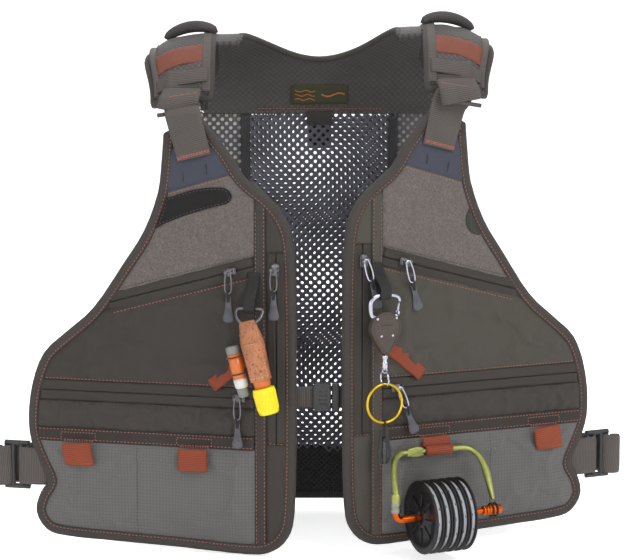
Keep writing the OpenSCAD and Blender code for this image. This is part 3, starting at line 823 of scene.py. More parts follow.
def stitches(batch, surface, path, pitch=3.5, length=2.4, r=0.42, closed=False):
    """Dashed thread along a path (u, z), each stitch a small arched capsule on the cloth."""
    path = np.asarray(path, float)
    if closed:
        path = np.vstack([path, path[:1]])
    run = np.concatenate([[0], np.cumsum(np.linalg.norm(np.diff(path, axis=0), axis=1))])
    starts = np.arange(pitch * 0.3, run[-1] - length, pitch)
    part = np.array([0.0, 0.2, 0.5, 0.8, 1.0])
    lift = np.array([-0.35, 0.12, 0.28, 0.12, -0.35])
    fat = np.array([0.25, 0.85, 1.0, 0.85, 0.25]) * r
    a = np.linspace(0, 2 * math.pi, 6, endpoint=False)
    for s in starts:
        at = s + part * length
        u, z = np.interp(at, run, path[:, 0]), np.interp(at, run, path[:, 1])
        along = unit(np.array([u[-1] - u[0], z[-1] - z[0]]))
        aside = np.array([-along[1], along[0]])
        h = np.array([surface.height(x, y) for x, y in zip(u[[0, 2, 4]], z[[0, 2, 4]])])
        h = np.interp(part, [0, 0.5, 1], h) + lift
        ring = np.zeros((5, 6, 3))
        ring[:, :, 0] = u[:, None] + np.cos(a) * aside[0] * fat[:, None]
        ring[:, :, 2] = z[:, None] + np.cos(a) * aside[1] * fat[:, None]
        ring[:, :, 1] = h[:, None] + np.sin(a) * fat[:, None]
        faces = grid_faces(5, 6, wrap=True) + [tuple(range(6)), tuple(range(24, 30))]
        batch.add(surface.panel.world(ring.reshape(-1, 3)), faces)


def offset_loop(loop, distance):
    """Closed (u, z) loop moved inward, by even steps and its own normals."""
    t = unit(np.roll(loop, -1, 0) - np.roll(loop, 1, 0))
    area = 0.5 * np.sum(loop[:, 0] * np.roll(loop[:, 1], -1) - np.roll(loop[:, 0], -1) * loop[:, 1])
    n = np.stack([-t[:, 1], t[:, 0]], 1) * (1 if area > 0 else -1)
    return loop + n * distance


BIND_SECTION = np.array([
    [8.6, 4.4], [8.5, 5.5], [7.4, 5.9], [6.4, 5.75], [5.2, 6.35], [3.4, 6.75], [1.4, 6.5], [-0.2, 5.6],
    [-1.1, 4.0], [-1.3, 2.2], [-1.0, 0.3], [0.2, -1.1], [2.4, -1.7], [5.2, -1.7], [7.6, -1.5],
    [8.5, -0.9], [8.6, 0.2]])


def binding(panel, loop):
    """Tape folded round the panel's edge, puckered where the thread goes through."""
    edge = resample(loop, 1.75, closed=True)
    rows = []
    for k, (n, f) in enumerate(BIND_SECTION):
        ring = offset_loop(edge, n)
        phase = 2 * math.pi * np.arange(len(edge)) / 2
        ripple = np.array([noise.noise(Vector((p[0] * 0.09, p[1] * 0.09, k * 0.15))) for p in edge])
        pucker = 0.14 * np.cos(phase) * math.exp(-((n - 6.4) / 1.6) ** 2)
        rows.append(np.stack([ring[:, 0], f + 0.5 * ripple * (1 if f > 2 else -1) + pucker,
                              ring[:, 1]], 1))
    ring = np.stack(rows, 1)
    count, sides = ring.shape[:2]
    faces = grid_faces(count, sides, wrap=True)
    last = (count - 1) * sides
    faces += [(last + j, last + (j + 1) % sides, (j + 1) % sides, j) for j in range(sides)]
    across = np.concatenate([[0], np.cumsum(np.linalg.norm(np.diff(BIND_SECTION, axis=0), axis=1))])
    cloth = np.stack([np.tile(across, count), np.repeat(np.arange(count) * 1.75, sides)], 1)
    return piece(panel.name + "_binding", panel.world(ring.reshape(-1, 3)), faces, "binding", cloth)


# ---------------------------------------------------------------- zips


def zip_band(panel, name, a, b, width, base=4.2):
    """A zip from a to b (u, z): two folded tapes with a slit, and the coil in it."""
    a, b = np.array(a, float), np.array(b, float)
    along = unit(b - a)
    aside = np.array([-along[1], along[0]])
    length = np.linalg.norm(b - a)
    section = [(width / 2, 0.2), (width / 2 - 0.4, 1.2), (width / 2 - 3.0, 1.5), (3.6, 1.5), (2.2, 2.2),
               (1.0, 2.35), (0.55, 1.7), (0.55, 0.1)]
    steps = max(int(length / 4), 2)
    tapes = Batch()
    for s in (-1, 1):
        rows = []
        for i in range(steps + 1):
            c = a + along * length * i / steps
            wave = 0.35 * noise.noise(Vector((i * 0.3, s * 2.0, length)))
            rows.append([[*(c + aside * s * (x + 0.3 * wave)), base + h + wave * (h > 1)]
                         for x, h in section])
        ring = np.array(rows)[:, :, [0, 2, 1]]
        count, sides = ring.shape[:2]
        faces = grid_faces(count, sides, wrap=True)
        faces += [tuple(range(sides)), tuple(range((count - 1) * sides, count * sides))]
        tapes.add(panel.world(ring.reshape(-1, 3)), faces, ring.reshape(-1, 3)[:, [0, 2]])
    band = tapes.piece(name + "_tapes", "zip")
    coil = Batch()
    pitch = 1.5
    cube = np.array([[x, y, z] for x in (-1, 1) for y in (-1, 1) for z in (-1, 1)], float)
    cube[:, 1] *= np.where(cube[:, 2] > 0, 0.6, 1)
    faces = [(0, 1, 3, 2), (4, 6, 7, 5), (0, 4, 5, 1), (2, 3, 7, 6), (0, 2, 6, 4), (1, 5, 7, 3)]
    for k in range(int(length / pitch)):
        for s in (-1, 1):
            c = a + along * (k + 0.25 * (s + 1)) * pitch
            c = c + aside * s * 0.85
            local = np.zeros((8, 3))
            flat = c + cube[:, :1] * along * 0.42 + cube[:, 1:2] * aside * 1.15
            local[:, [0, 2]] = flat
            local[:, 1] = base + 1.15 + cube[:, 2] * 0.6
            coil.add(panel.world(local), faces, local[:, [0, 2]])
    teeth = coil.piece(name + "_coil", "coil", smooth=False)
    return band, teeth


def half_plane(loop, point, normal):
    """The part of a closed (u, z) loop on the side that normal points to."""
    point, normal = np.asarray(point, float), np.asarray(normal, float)
    h = (loop - point) @ normal
    out = []
    for i in range(len(loop)):
        j = (i + 1) % len(loop)
        if h[i] >= 0:
            out.append(loop[i])
        if (h[i] >= 0) != (h[j] >= 0):
            t = h[i] / (h[i] - h[j])
            out.append(loop[i] + t * (loop[j] - loop[i]))
    return np.array(out)


def box_in(loop, u0, z0, u1, z1):
    for point, normal in (((u0, 0), (1, 0)), ((u1, 0), (-1, 0)), ((0, z0), (0, 1)), ((0, z1), (0, -1))):
        loop = half_plane(loop, point, normal)
    return loop


def span(loop, z):
    """Lowest and highest u of a loop at height z."""
    cut = half_plane(loop, (0, z - 0.5), (0, 1))
    cut = half_plane(cut, (0, z + 0.5), (0, -1))
    return cut[:, 0].min(), cut[:, 0].max()

# ---------------------------------------------------------------- front panels

NAVY_PATCH = np.array([[117, 377], [82, 388], [60, 355], [123, 336]])
CHEST_SLOPE = -0.273     # fall of the chest zip per mm outward


def chest_line(panel):
    """Middle height of the chest zip at u = 0, from its slider."""
    low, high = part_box(panel.name + "_chest_slider")
    c = panel.local((np.array(low) + np.array(high)) / 2)
    return c[0], c[2]


def line_of(a, b, step=4.0):
    return resample(np.array([a, b], float), step)


def build_front(side):
    panel = PANELS[side]
    n, body = panel.name, panel.body
    # the left panel takes the copy of the nylon that is painted darker as shade
    nylon = "nylon_left" if side < 0 else "nylon_right"
    shell_loop = panel.loops(n + "_front_shell")[0]
    within = offset_loop(resample(shell_loop, 2.5, closed=True), 7.8)
    shell = sheet(panel, n + "_shell", shell_loop, nylon, 0.0, SHELL_T, 0.3, 20, 5.0, 0.3, (0.02, 0.02), side)
    finish_piece(shell, body, "nylon", n + "_front_shell")
    made = {"shell": shell}

    bind = binding(panel, shell_loop)
    finish_piece(bind, body, "binding", n + "_edge_binding")
    made["binding"] = bind

    chest_pts = panel.loops(n + "_chest_pocket")[0]
    cu, cz = chest_line(panel)

    def zip_mid(u):
        return cz + (u - cu) * CHEST_SLOPE

    fleece_loop = panel.loops(n + "_fleece_panel")[0]
    fleece = sheet(panel, n + "_fleece", fleece_loop, "fleece", 4.2, 5.4, 1.4, 9, 3.0, 0.5,
                   (0.03, 0.03), 3 + side)
    finish_piece(fleece, body, "fleece", n + "_fleece_panel")
    made["fleece"] = fleece
    navy = sheet(panel, n + "_anchor_patch", NAVY_PATCH, "navy", 4.2, 5.3, 0.9, 8, 3.5, 0.2,
                 (0.03, 0.03), 9 + side)
    finish_piece(navy, body, "nylon")
    made["navy"] = navy

    # pockets: crowned sheets that the cloth run fills out
    chest = sheet(panel, n + "_chest", chest_pts, nylon, 4.2, 5.6, 3.2, 26, 4.0, 0.9, (0.012, 0.03),
                  1.7 * side)
    puff(chest, panel, chest_pts, 1.8, 0.045, 4.0)
    finish_piece(chest, body, "nylon", n + "_chest_pocket")
    made["chest"] = chest
    waist_pts = panel.loops(n + "_waist_pocket")[0]
    waist = sheet(panel, n + "_waist", waist_pts, "waist", 4.2, 5.6, 2.2, 10, 3.0, 1.0, (0.05, 0.03),
                  4.2 * side)
    puff(waist, panel, waist_pts, 1.8, 0.055, 3.6, 2.0)
    finish_piece(waist, body, "nylon", n + "_waist_pocket")
    made["waist"] = waist
    hem_pts = panel.loops(n + "_hem_pocket")[0]
    hem = sheet(panel, n + "_hem", hem_pts, "ripstop", 4.2, 5.8, 2.8, 22, 3.6, 0.8, (0.02, 0.03), 6.1 * side)
    puff(hem, panel, hem_pts, 1.6, 0.025, 3.0)
    finish_piece(hem, body, "ripstop", n + "_hem_pocket")
    made["hem"] = hem

    # flat trims
    band_loop = box_in(within, 38.5, HEM_TOP - 1.0, 262, HEM_TOP + 12.5)
    trim = sheet(panel, n + "_tape_band", band_loop, "tape", 4.2, 6.4, 0.5, 4, 3.0, 0.35, (0.05, 0.08),
                 2.2 * side)
    finish_piece(trim, body, "nylon")
    made["tape"] = trim
    strip = sheet(panel, n + "_placket", box_in(within, 27.2, 8, 37.8, 331), nylon, 4.2, 5.6, 0.9, 4, 2.5,
                  0.35,
                  (0.06, 0.02), 8.8 * side)
    finish_piece(strip, body, "nylon")
    made["placket"] = strip
    inner = sheet(panel, n + "_inner_strip", box_in(within, 0, 8, 26.8, 105.5), nylon, 4.2, 5.2, 1.2, 8, 3.0,
                  0.5,
                  (0.03, 0.02), 3.8 * side)
    finish_piece(inner, body, "nylon")
    made["inner"] = inner
    upper = sheet(panel, n + "_upper_strip", box_in(within, 0, 284.5, 26.8, 345), nylon, 4.2, 5.2, 1.0, 8,
                  3.0, 0.4,
                  (0.03, 0.02), 5.8 * side)
    finish_piece(upper, body, "nylon")

    # zips, each over its part of the CAD node
    lz = HEM_TOP + 48.0
    u_far = span(within, lz)[1]
    bands = [zip_band(panel, n + "_low_zip", (38.5, lz), (u_far - 1, lz), 19.4)]
    bands.append(zip_band(panel, n + "_vertical_zip", (17, 106), (17, 284), 17.5))
    far = 38.5
    while inside(np.array([[far + 1, zip_mid(far + 1)]]), within)[0]:
        far += 1
    bands.append(zip_band(panel, n + "_chest_zip", (38.5, zip_mid(38.5)), (far, zip_mid(far)), 17.6))
    first = True
    for tapes, coil in bands:
        finish_piece(tapes, body, "zip_tape", *([n + "_zip_tapes"] if first else []))
        finish_piece(coil, body, "zip_tape")
        first = False
    made["zips"] = [b[0] for b in bands]
    if side < 0:
        patch_loop = panel.loops("hook_loop_patch")[0]
        patch = sheet(panel, "hook_patch", patch_loop, "velcro", 6.0, 8.0, 0.4, 3, 2.5, 0.25, (0.2, 0.2), 2)
        finish_piece(patch, body, "hook_loop", "hook_loop_patch")
    else:
        patch_loop = panel.loops("magnet_patch")[0]
        patch = sheet(panel, "magnet_cover", patch_loop, "magnet", 6.0, 6.9, 1.4, 6, 1.8, 0.1, (0.2, 0.2), 2)
        finish_piece(patch, body, "magnet_cloth", "magnet_patch")
    made["patch"] = patch
    made["patch_loop"] = patch_loop
    made["fleece_loop"], made["shell_loop"], made["within"] = fleece_loop, shell_loop, within
    made["zip_mid"], made["chest_far"], made["low_mid"] = zip_mid, far, lz
    made["hem_pts"], made["waist_pts"], made["chest_pts"] = hem_pts, waist_pts, chest_pts
    return made


FRONTS = {side: build_front(side) for side in (-1, 1)}
run_cloth()


def sew_front(side):
    """Every row of thread on a panel, in one piece for each colour."""
    panel, made = PANELS[side], FRONTS[side]
    n, body = panel.name, panel.body
    every = [made[k] for k in ("shell", "binding", "fleece", "navy", "chest", "waist", "hem", "tape",
                               "placket",
                               "inner", "patch")] + made["zips"]
    on = Surface(panel, every)
    made["surface"] = on
    coral, dark = Batch(), Batch()
    loop = resample(made["shell_loop"], 2.0, closed=True)
    stitches(coral, on, offset_loop(loop, 6.6), closed=True, pitch=3.6)
    mid = made["zip_mid"]
    far = made["chest_far"]
    # chest zip: a row above and below
    for k, shift in enumerate((10.6, -10.8)):
        stitches(coral if k else dark, on,
                 line_of((38.5, mid(38.5) + shift), (far - 2, mid(far - 2) + shift)))
    # fleece: along the anchor patch
    stitches(coral, on, line_of((61, 353), (121, 335)))
    # low zip, tape band
    lz = made["low_mid"]
    for z, batch in ((lz + 11.2, coral), (lz - 11.0, dark), (HEM_TOP + 10.6, coral), (HEM_TOP + 1.2, coral)):
        a, b = span(made["within"], z)
        stitches(batch, on, line_of((max(a, 39), z), (b - 0.5, z)))
    # placket and vertical zip
    stitches(coral, on, line_of((36.4, 10), (36.4, 322)), pitch=3.8)
    stitches(coral, on, line_of((28.6, 10), (28.6, 326)), pitch=3.8)
    stitches(coral, on, line_of((10, 106.6), (26, 106.6)))
    # hem pocket divider
    stitches(dark, on, line_of((152, 10), (152, HEM_TOP - 1)), pitch=3.2)
    # patch
    if side < 0:
        stitches(dark, on, offset_loop(resample(made["patch_loop"], 1.5, closed=True), 1.5), closed=True)
    else:
        stitches(dark, on, offset_loop(resample(made["patch_loop"], 1.0, closed=True), 1.2), closed=True,
                 pitch=2.8,
                 length=1.9)
    # slits and dot of the anchor patch
    for du in (-11, 11):
        c = np.array([94 + du, 356 - 0.35 * du])
        stitches(dark, on, line_of(c + [-0.5, -5.5], c + [0.5, 5.5], 1.0), pitch=1.3, length=1.6, r=0.7)
    stitches(dark, on, line_of((93.2, 357), (94.8, 357), 0.5), pitch=1.6, length=1.4, r=1.1)
    finish_piece(coral.piece(n + "_coral_thread", "coral"), body, "rust_webbing")
    finish_piece(dark.piece(n + "_dark_thread", "dark_thread"), body, "webbing")


for side in (-1, 1):
    sew_front(side)

# ---------------------------------------------------------------- back, yoke and shoulders

YOKE_LOW, YOKE_HIGH = (np.array(c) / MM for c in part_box("back_yoke"))
MID_X = (YOKE_LOW[0] + YOKE_HIGH[0]) / 2
YOKE_R = 82.0            # outer radius of the yoke's curve
AXIS_Y, AXIS_Z = YOKE_HIGH[1] - YOKE_R, YOKE_HIGH[2] - YOKE_R
BACK_Y = YOKE_HIGH[1]    # outer face of the back sheet
MESH_LOW, MESH_HIGH = (np.array(c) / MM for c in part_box("back_mesh"))
LUMBAR_LOW, LUMBAR_HIGH = (np.array(c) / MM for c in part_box("lumbar_pocket"))
CORNER = 85.0            # radius of the rounded back corners
FLAT = MESH_HIGH[0] - MID_X - CORNER
SEAM_X = 73.0            # seam bands down the back lie this far from its middle
PAD_HIGH = np.array(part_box("shoulder_pads")[1]) / MM
PAD_W = 60.0


def ease(x):
    x = np.clip(x, 0, 1)
    return x * x * (3 - 2 * x)


def on_back(s, z, depth):
    """World points of the back sheet: s runs round it from its middle, depth in from outside."""
    s, z = np.asarray(s, float), np.asarray(z, float)
    turn = np.clip(np.abs(s) - FLAT, 0, None) / CORNER
    r = CORNER - depth
    x = np.where(turn > 0, FLAT + r * np.sin(turn), np.abs(s)) * np.sign(s + 1e-9)
    y = BACK_Y - CORNER + r * np.cos(turn)
    y = np.where(turn > 0, y, BACK_Y - depth)
    return np.stack([MID_X + x, y + 0 * z, z + 0 * s], -1) * MM


def tree_of(node):
    me = NODES[node].data
    return BVHTree.FromPolygons([v.co for v in me.vertices], [tuple(p.vertices) for p in me.polygons])


def net(name, material, pitch, hole, depth, z0, z1, s1, keep, turn=45.0, thick=0.5):
    """Knitted net with real round holes on the back sheet, one cell to each hole."""
    a = math.radians(turn)
    ax, ay = np.array([math.cos(a), math.sin(a)]), np.array([-math.sin(a), math.cos(a)])
    n = int((s1 + z1 - z0) / pitch) + 2
    i, j = np.meshgrid(np.arange(-n, n), np.arange(-n, n))
    centre = (i.ravel()[:, None] * ax + j.ravel()[:, None] * ay) * pitch
    centre[:, 1] += (z0 + z1) / 2
    ok = (np.abs(centre[:, 0]) < s1) & (centre[:, 1] > z0) & (centre[:, 1] < z1)
    centre = np.array([c for c in centre[ok] if keep(*c)])
    h = pitch / 2
    square = np.array([[h, 0], [h, h], [0, h], [-h, h], [-h, 0], [-h, -h], [0, -h], [h, -h]])
    spin = np.radians(np.arange(8) * 45.0)
    circle = np.stack([np.cos(spin), np.sin(spin)], 1)
    rings = [(circle * hole, 0.0), (circle * (hole + 0.32), thick), (square, thick * 0.62),
             (circle * (hole + 0.32), -thick), (square, -thick * 0.62)]
    flat = np.concatenate([r for r, _ in rings]) @ np.array([ax, ay])
    out = np.concatenate([np.full(8, d) for _, d in rings])
    s = centre[:, 0, None] + flat[None, :, 0]
    z = centre[:, 1, None] + flat[None, :, 1]
    wave = 0.9 * np.sin(s / 37) * np.sin(z / 52) + 0.5 * np.sin(s / 13 + z / 29)
    verts = on_back(s, z, depth + out[None, :] + wave).reshape(-1, 3)
    cell = []
    for p, q in ((0, 1), (1, 2), (3, 0), (4, 3)):
        cell += [(p * 8 + k, p * 8 + (k + 1) % 8, q * 8 + (k + 1) % 8, q * 8 + k) for k in range(8)]
    cell = np.array(cell)
    faces = (cell[None] + (np.arange(len(centre)) * 40)[:, None, None]).reshape(-1, 4)
    me = bpy.data.meshes.new(name)
    me.from_pydata(verts.tolist(), [], faces.tolist())
    cloth = np.zeros((len(verts), 3), np.float32)
    cloth[:, 0], cloth[:, 1] = s.ravel(), z.ravel()
    me.attributes.new("cloth", "FLOAT_VECTOR", "POINT").data.foreach_set("vector", cloth.ravel())
    me.polygons.foreach_set("use_smooth", [True] * len(me.polygons))
    me.materials.append(M[material])
    ob = bpy.data.objects.new(name, me)
    bpy.context.collection.objects.link(ob)
    return ob


def back_strip(name, path, width, thick, material, depth, body="root", slot="mesh", cols=9):
    """Tape lying on the back sheet along points (s, z)."""
    path = np.asarray(path, float)
    world = on_back(path[:, 0], path[:, 1], depth)
    t = unit(np.gradient(path, axis=0))
    aside = np.stack([t[:, 1], -t[:, 0]], 1)
    across = on_back(path[:, 0] + aside[:, 0], path[:, 1] + aside[:, 1], depth) - world
    v, f, c = ribbon(world, across, width, thick, cols)
    return finish_piece(piece(name, v, f, material, c), body, slot)


def slack(s, z):
    """Outward sag in mm of the loose cloth behind the net."""
    return 1.5 * (1 + np.sin(s / 31 + z / 47)) * (0.35 + 0.65 * np.sin(z / 27 - s / 33) ** 2)


def back_sheet_piece(name, material, s0, s1, z0, z1, depth, edge=None, sag=0.0):
    """Smooth cloth on the back sheet between s0..s1 and z0..z1, cut off at edge(z)."""
    rows, cols = 60, 50
    zz = np.linspace(z0, z1, rows)
    s, z = [], []
    for value in zz:
        top = min(abs(s1), edge(value)) if edge else abs(s1)
        top = max(top, abs(s0) + 0.5)
        s.append(np.linspace(abs(s0), top, cols) * (1 if s1 > 0 else -1) if s0 * s1 >= 0
                 else np.linspace(-top, top, cols))
        z.append(np.full(cols, value))
    s, z = np.array(s), np.array(z)
    inward = np.minimum(np.minimum(np.arange(cols), cols - 1 - np.arange(cols))[None, :],
                        np.minimum(np.arange(rows), rows - 1 - np.arange(rows))[:, None])
    depth = depth - sag * slack(s, z) * np.clip(inward / 6, 0, 1)
    front = on_back(s, z, depth + 0.3).reshape(-1, 3)
    back = on_back(s, z, depth - 0.3).reshape(-1, 3)
    n = rows * cols
    faces = grid_faces(rows, cols)
    faces += [tuple(i + n for i in f[::-1]) for f in faces]
    for loop in (range(0, cols), range(n - cols, n), range(0, n, cols), range(cols - 1, n, cols)):
        k = list(loop)
        faces += [(p, q, q + n, p + n) for p, q in zip(k, k[1:])]
    cloth = np.stack([np.concatenate([s.ravel(), s.ravel()]), np.concatenate([z.ravel(), z.ravel()])], 1)
    return piece(name, np.concatenate([front, back]), faces, material, cloth)


def build_back():
    tree = tree_of("back_mesh")

    def near(s, z):
        p = on_back(s, z, 2.0)
        hit = tree.find_nearest(Vector(p))
        return hit[0] is not None and hit[3] < 0.0021

    span_s = FLAT + CORNER * math.pi / 2
    z0, z1 = MESH_LOW[2], MESH_HIGH[2]
    zs = np.linspace(z0 + 1, z1 - 1, 90)
    reach = []
    for z in zs:
        s = span_s
        while s > 60 and not near(s, z):
            s -= 1.0
        reach.append(s)
    reach = np.array(reach)

    def edge(z):
        return np.interp(z, zs, reach)

    outer = net("back_net", "net", 5.9, 1.85, 0.9, z0 + 2, z1 - 1, span_s,
                lambda s, z: abs(s) < edge(z) - 1.5)
    finish_piece(outer, "root", "mesh", "back_mesh")
    inner = net("back_net_inner", "net", 6.12, 1.7, 3.0, z0 + 2, z1 - 1, SEAM_X + 2,
                lambda s, z: True, turn=46.8)
    finish_piece(inner, "root", "mesh")
    for side in (-1, 1):
        # the lining's colour is partly painted light for back light shining through the thin cloth
        lining = back_sheet_piece(f"back_lining_{'left' if side < 0 else 'right'}", "net_light",
                                  side * (SEAM_X + 3), side * span_s, z0 + 1, z1 - 0.5, -1.1, edge)
        finish_piece(lining, "root", "mesh")
        cloth = back_sheet_piece(f"back_side_cloth_{'left' if side < 0 else 'right'}", "nylon_right",
                                 side * (SEAM_X - 4), side * span_s, z0 + 1, z1 - 0.5, -1.9, edge, 1.0)
        finish_piece(cloth, "root", "mesh")
        rows = [[(side * (SEAM_X + k), z) for z in np.arange(z0 + 4, z1 - 3, 0.6)] for k in (-1.5, 2.0)]
        rows += [[(side * s, z0 + 6) for s in np.arange(SEAM_X + 4, edge(z0 + 6) - 4, 0.6)]]
        sewn = Batch()
        for row in rows:
            for k in range(0, len(row) - 4, 6):
                q = np.array(row[k:k + 5])
                sewn.add(*tube(on_back(q[:, 0], q[:, 1], -2.5), [0.22, 0.4, 0.45, 0.4, 0.22], 6))
        finish_piece(sewn.piece(f"back_stitches_{'left' if side < 0 else 'right'}", "coral"), "root", "mesh")
        line = [(side * SEAM_X, z) for z in np.linspace(z0, z1 - 1, 60)]
        back_strip(f"back_seam_{'left' if side < 0 else 'right'}", line, 9, 0.9, "net_seam", 3.9)
        top = np.stack([side * reach, zs], 1)
        path = smooth_path(top[::3], 3.0)
        v, f, c = tube(on_back(path[:, 0], path[:, 1], 1.0), 3.4, 14)
        ob = piece(f"armhole_binding_{'left' if side < 0 else 'right'}", v, f, "binding", c)
        finish_piece(ob, "root", "mesh")
    low, high = LUMBAR_LOW[2], LUMBAR_HIGH[2]
    pocket = net("lumbar_net", "net_black", 3.7, 0.85, 2.6, low + 7, high + 2, span_s - 1,
                 lambda s, z: True)
    finish_piece(pocket, "root", "lumbar_mesh", "lumbar_pocket")
    lining = back_sheet_piece("lumbar_lining", "lumbar_cloth", -span_s, span_s, low + 2, high - 1, 0.6)
    finish_piece(lining, "root", "lumbar_mesh")
    s = np.linspace(-span_s, span_s, 160)
    back_strip("lumbar_hem", np.stack([s, np.full(160, low + 4)], 1), 9, 3.2, "web_black", 2.0,
               slot="lumbar_mesh")
    back_strip("lumbar_top_tape", np.stack([s, np.full(160, high + 1)], 1), 9, 1.6, "web_black", 1.7,
               slot="lumbar_mesh")


def on_yoke(x, a, r):
    """World points of the yoke: x across, a degrees up from the back, r from its axis."""
    x, a = np.asarray(x, float), np.radians(np.asarray(a, float))
    up = ease((np.abs(x) - 35) / 65) * ease(a / 0.7) * np.where(x > 0, 5.5, -3.0)
    return np.stack([MID_X + x, AXIS_Y + r * np.cos(a), AXIS_Z + r * np.sin(a) + up], -1) * MM


def yoke_reach(a):
    inner = YOKE_HIGH[0] - MID_X
    return inner - 14 * ease((a - 8) / 34)


def neck(a):
    """Half width of the neck opening at angle a."""
    y = AXIS_Y + 80 * np.cos(np.radians(a)) - (AXIS_Y - 15) + 1
    return np.sqrt(np.clip(76.0 ** 2 - y * y, 0, None))


def build_yoke():
    low_a = math.degrees(math.acos(0.75))
    angles = np.concatenate([np.linspace(0.3, low_a, 40),
                             low_a + (112 - low_a) * np.linspace(0.004, 1, 70) ** 1.7])
    cols = 60
    for side in (-1, 1):
        name = "left" if side < 0 else "right"
        t = np.linspace(0, 1, cols)
        x = np.array([neck(a) + (yoke_reach(a) - neck(a)) * t for a in angles]) * side
        aa = np.repeat(angles[:, None], cols, 1)
        dent = np.array([[1.2 * noise.noise(Vector((p / 40, q / 22, side))) for p, q in zip(r, s)]
                         for r, s in zip(x, aa)])
        edge = np.minimum(1, np.minimum((1 - t) * 14, np.ones(cols)))[None, :]
        half = 2.0 * np.sqrt(np.clip(edge, 0.05, 1)) + 0.4
        front = on_yoke(x, aa, 80 + dent - half).reshape(-1, 3)
        back = on_yoke(x, aa, 80 + dent + half).reshape(-1, 3)
        n = len(front)
        faces = grid_faces(len(angles), cols)
        faces += [tuple(i + n for i in f[::-1]) for f in faces]
        for loop in (range(0, cols), range(n - cols, n), range(cols - 1, n, cols)):
            k = list(loop)
            faces += [(p, q, q + n, p + n) for p, q in zip(k, k[1:])]
        k = list(range(0, n, cols))
        faces += [(p, q, q + n, p + n) for p, q, a in zip(k, k[1:], angles) if a > low_a - 1]
        flat = np.stack([x.ravel(), np.radians(aa.ravel()) * 80], 1)
        ob = piece(f"yoke_{name}", np.concatenate([front, back]), faces, "yoke", np.concatenate([flat, flat]))
        finish_piece(ob, "root", "yoke_cloth", "back_yoke")
        edge_a = np.linspace(1, 108, 70)
        path = on_yoke(side * (yoke_reach(edge_a) - 1), edge_a, 81)
        v, f, c = tube(path, 4.2, 14, squash=0.75)
        finish_piece(piece(f"yoke_piping_{name}", v, f, "binding", c), "root", "binding")
    a = np.concatenate([np.linspace(111, low_a + 0.4, 50), [low_a]])
    half = np.stack([neck(a), a], 1)
    path = np.concatenate([half, half[-2::-1] * [-1, 1]])
    v, f, c = tube(on_yoke(path[:, 0], path[:, 1], 80), 3.0, 14)
    finish_piece(piece("neck_binding", v, f, "binding", c), "root", "binding")
    x = np.linspace(-114, 114, 90)
    v, f, c = ribbon(on_yoke(x, np.full(90, 0.4), 80), (0, 0, 1), 5, 5.2)
    finish_piece(piece("yoke_hem", v, f, "yoke", c), "root", "yoke_cloth")
    dashes = Batch()
    for k in np.arange(-60, 62, 3.4):
        p = on_yoke(np.linspace(k, k + 2.4, 4), np.full(4, 2.6), 77.0)
        v, f, c = tube(p, [0.25, 0.42, 0.42, 0.25], 6)
        dashes.add(v, f, c)
    finish_piece(dashes.piece("yoke_stitches", "coral"), "root", "yoke_cloth")
    g = np.array([on_yoke(np.linspace(-28, 29, 12), np.full(12, b), 76.6) for b in np.linspace(6, 21, 8)])
    h = np.array([on_yoke(np.linspace(-28, 29, 12), np.full(12, b), 77.6) for b in np.linspace(6, 21, 8)])
    faces = grid_faces(8, 12)
    faces += [tuple(i + 96 for i in q[::-1]) for q in faces]
    for loop in (range(0, 12), range(84, 96), range(0, 96, 12), range(11, 96, 12)):
        k = list(loop)
        faces += [(p, q, q + 96, p + 96) for p, q in zip(k, k[1:])]
    uv = np.array([[x, z] for z in np.linspace(0, 20, 8) for x in np.linspace(-28, 29, 12)])
    ob = piece("neck_label", np.concatenate([g.reshape(-1, 3), h.reshape(-1, 3)]), faces, "label",
               np.concatenate([uv, uv]))
    finish_piece(ob, "root", "yoke_cloth")
    marks = Batch()
    for row, (x0, x1) in enumerate(((-24, -4), (-24, -4), (-24, -4), (2, 25))):
        x = np.linspace(x0, x1, 30)
        b = 9.5 + row * 3.2 if row < 3 else 13.2
        wave = (1.1 if row < 3 else 2.2) * np.sin((x - x0) * (0.55 if row < 3 else 0.27) + row)
        v, f, c = tube(on_yoke(x, b + wave * 0.6, 76.4), 0.5 if row < 3 else 0.9, 6)
        marks.add(v, f, c)
    finish_piece(marks.piece("neck_label_waves", "label_mark"), "root", "yoke_cloth")
    low = np.array([[MID_X - 12, BACK_Y - 6.5, AXIS_Z - 12], [MID_X + 13, BACK_Y - 4.6, AXIS_Z + 1]])
    ob = piece("yoke_tab", *block(low[0], low[1], lambda p: p * MM), "lining")
    finish_piece(ob, "root", "yoke_cloth", bevel=0.9)
    dashes = Batch()
    for side in (-1, 1):
        for k in np.arange(12, 104, 3.6):
            aa = np.linspace(k, k + 1.8, 4)
            p = on_yoke(side * (yoke_reach(aa) - 8), aa, 77.2)
            v, f, c = tube(p, [0.22, 0.4, 0.4, 0.22], 6)
            dashes.add(v, f, c)
    finish_piece(dashes.piece("yoke_edge_stitches", "dark_thread"), "root", "yoke_cloth")


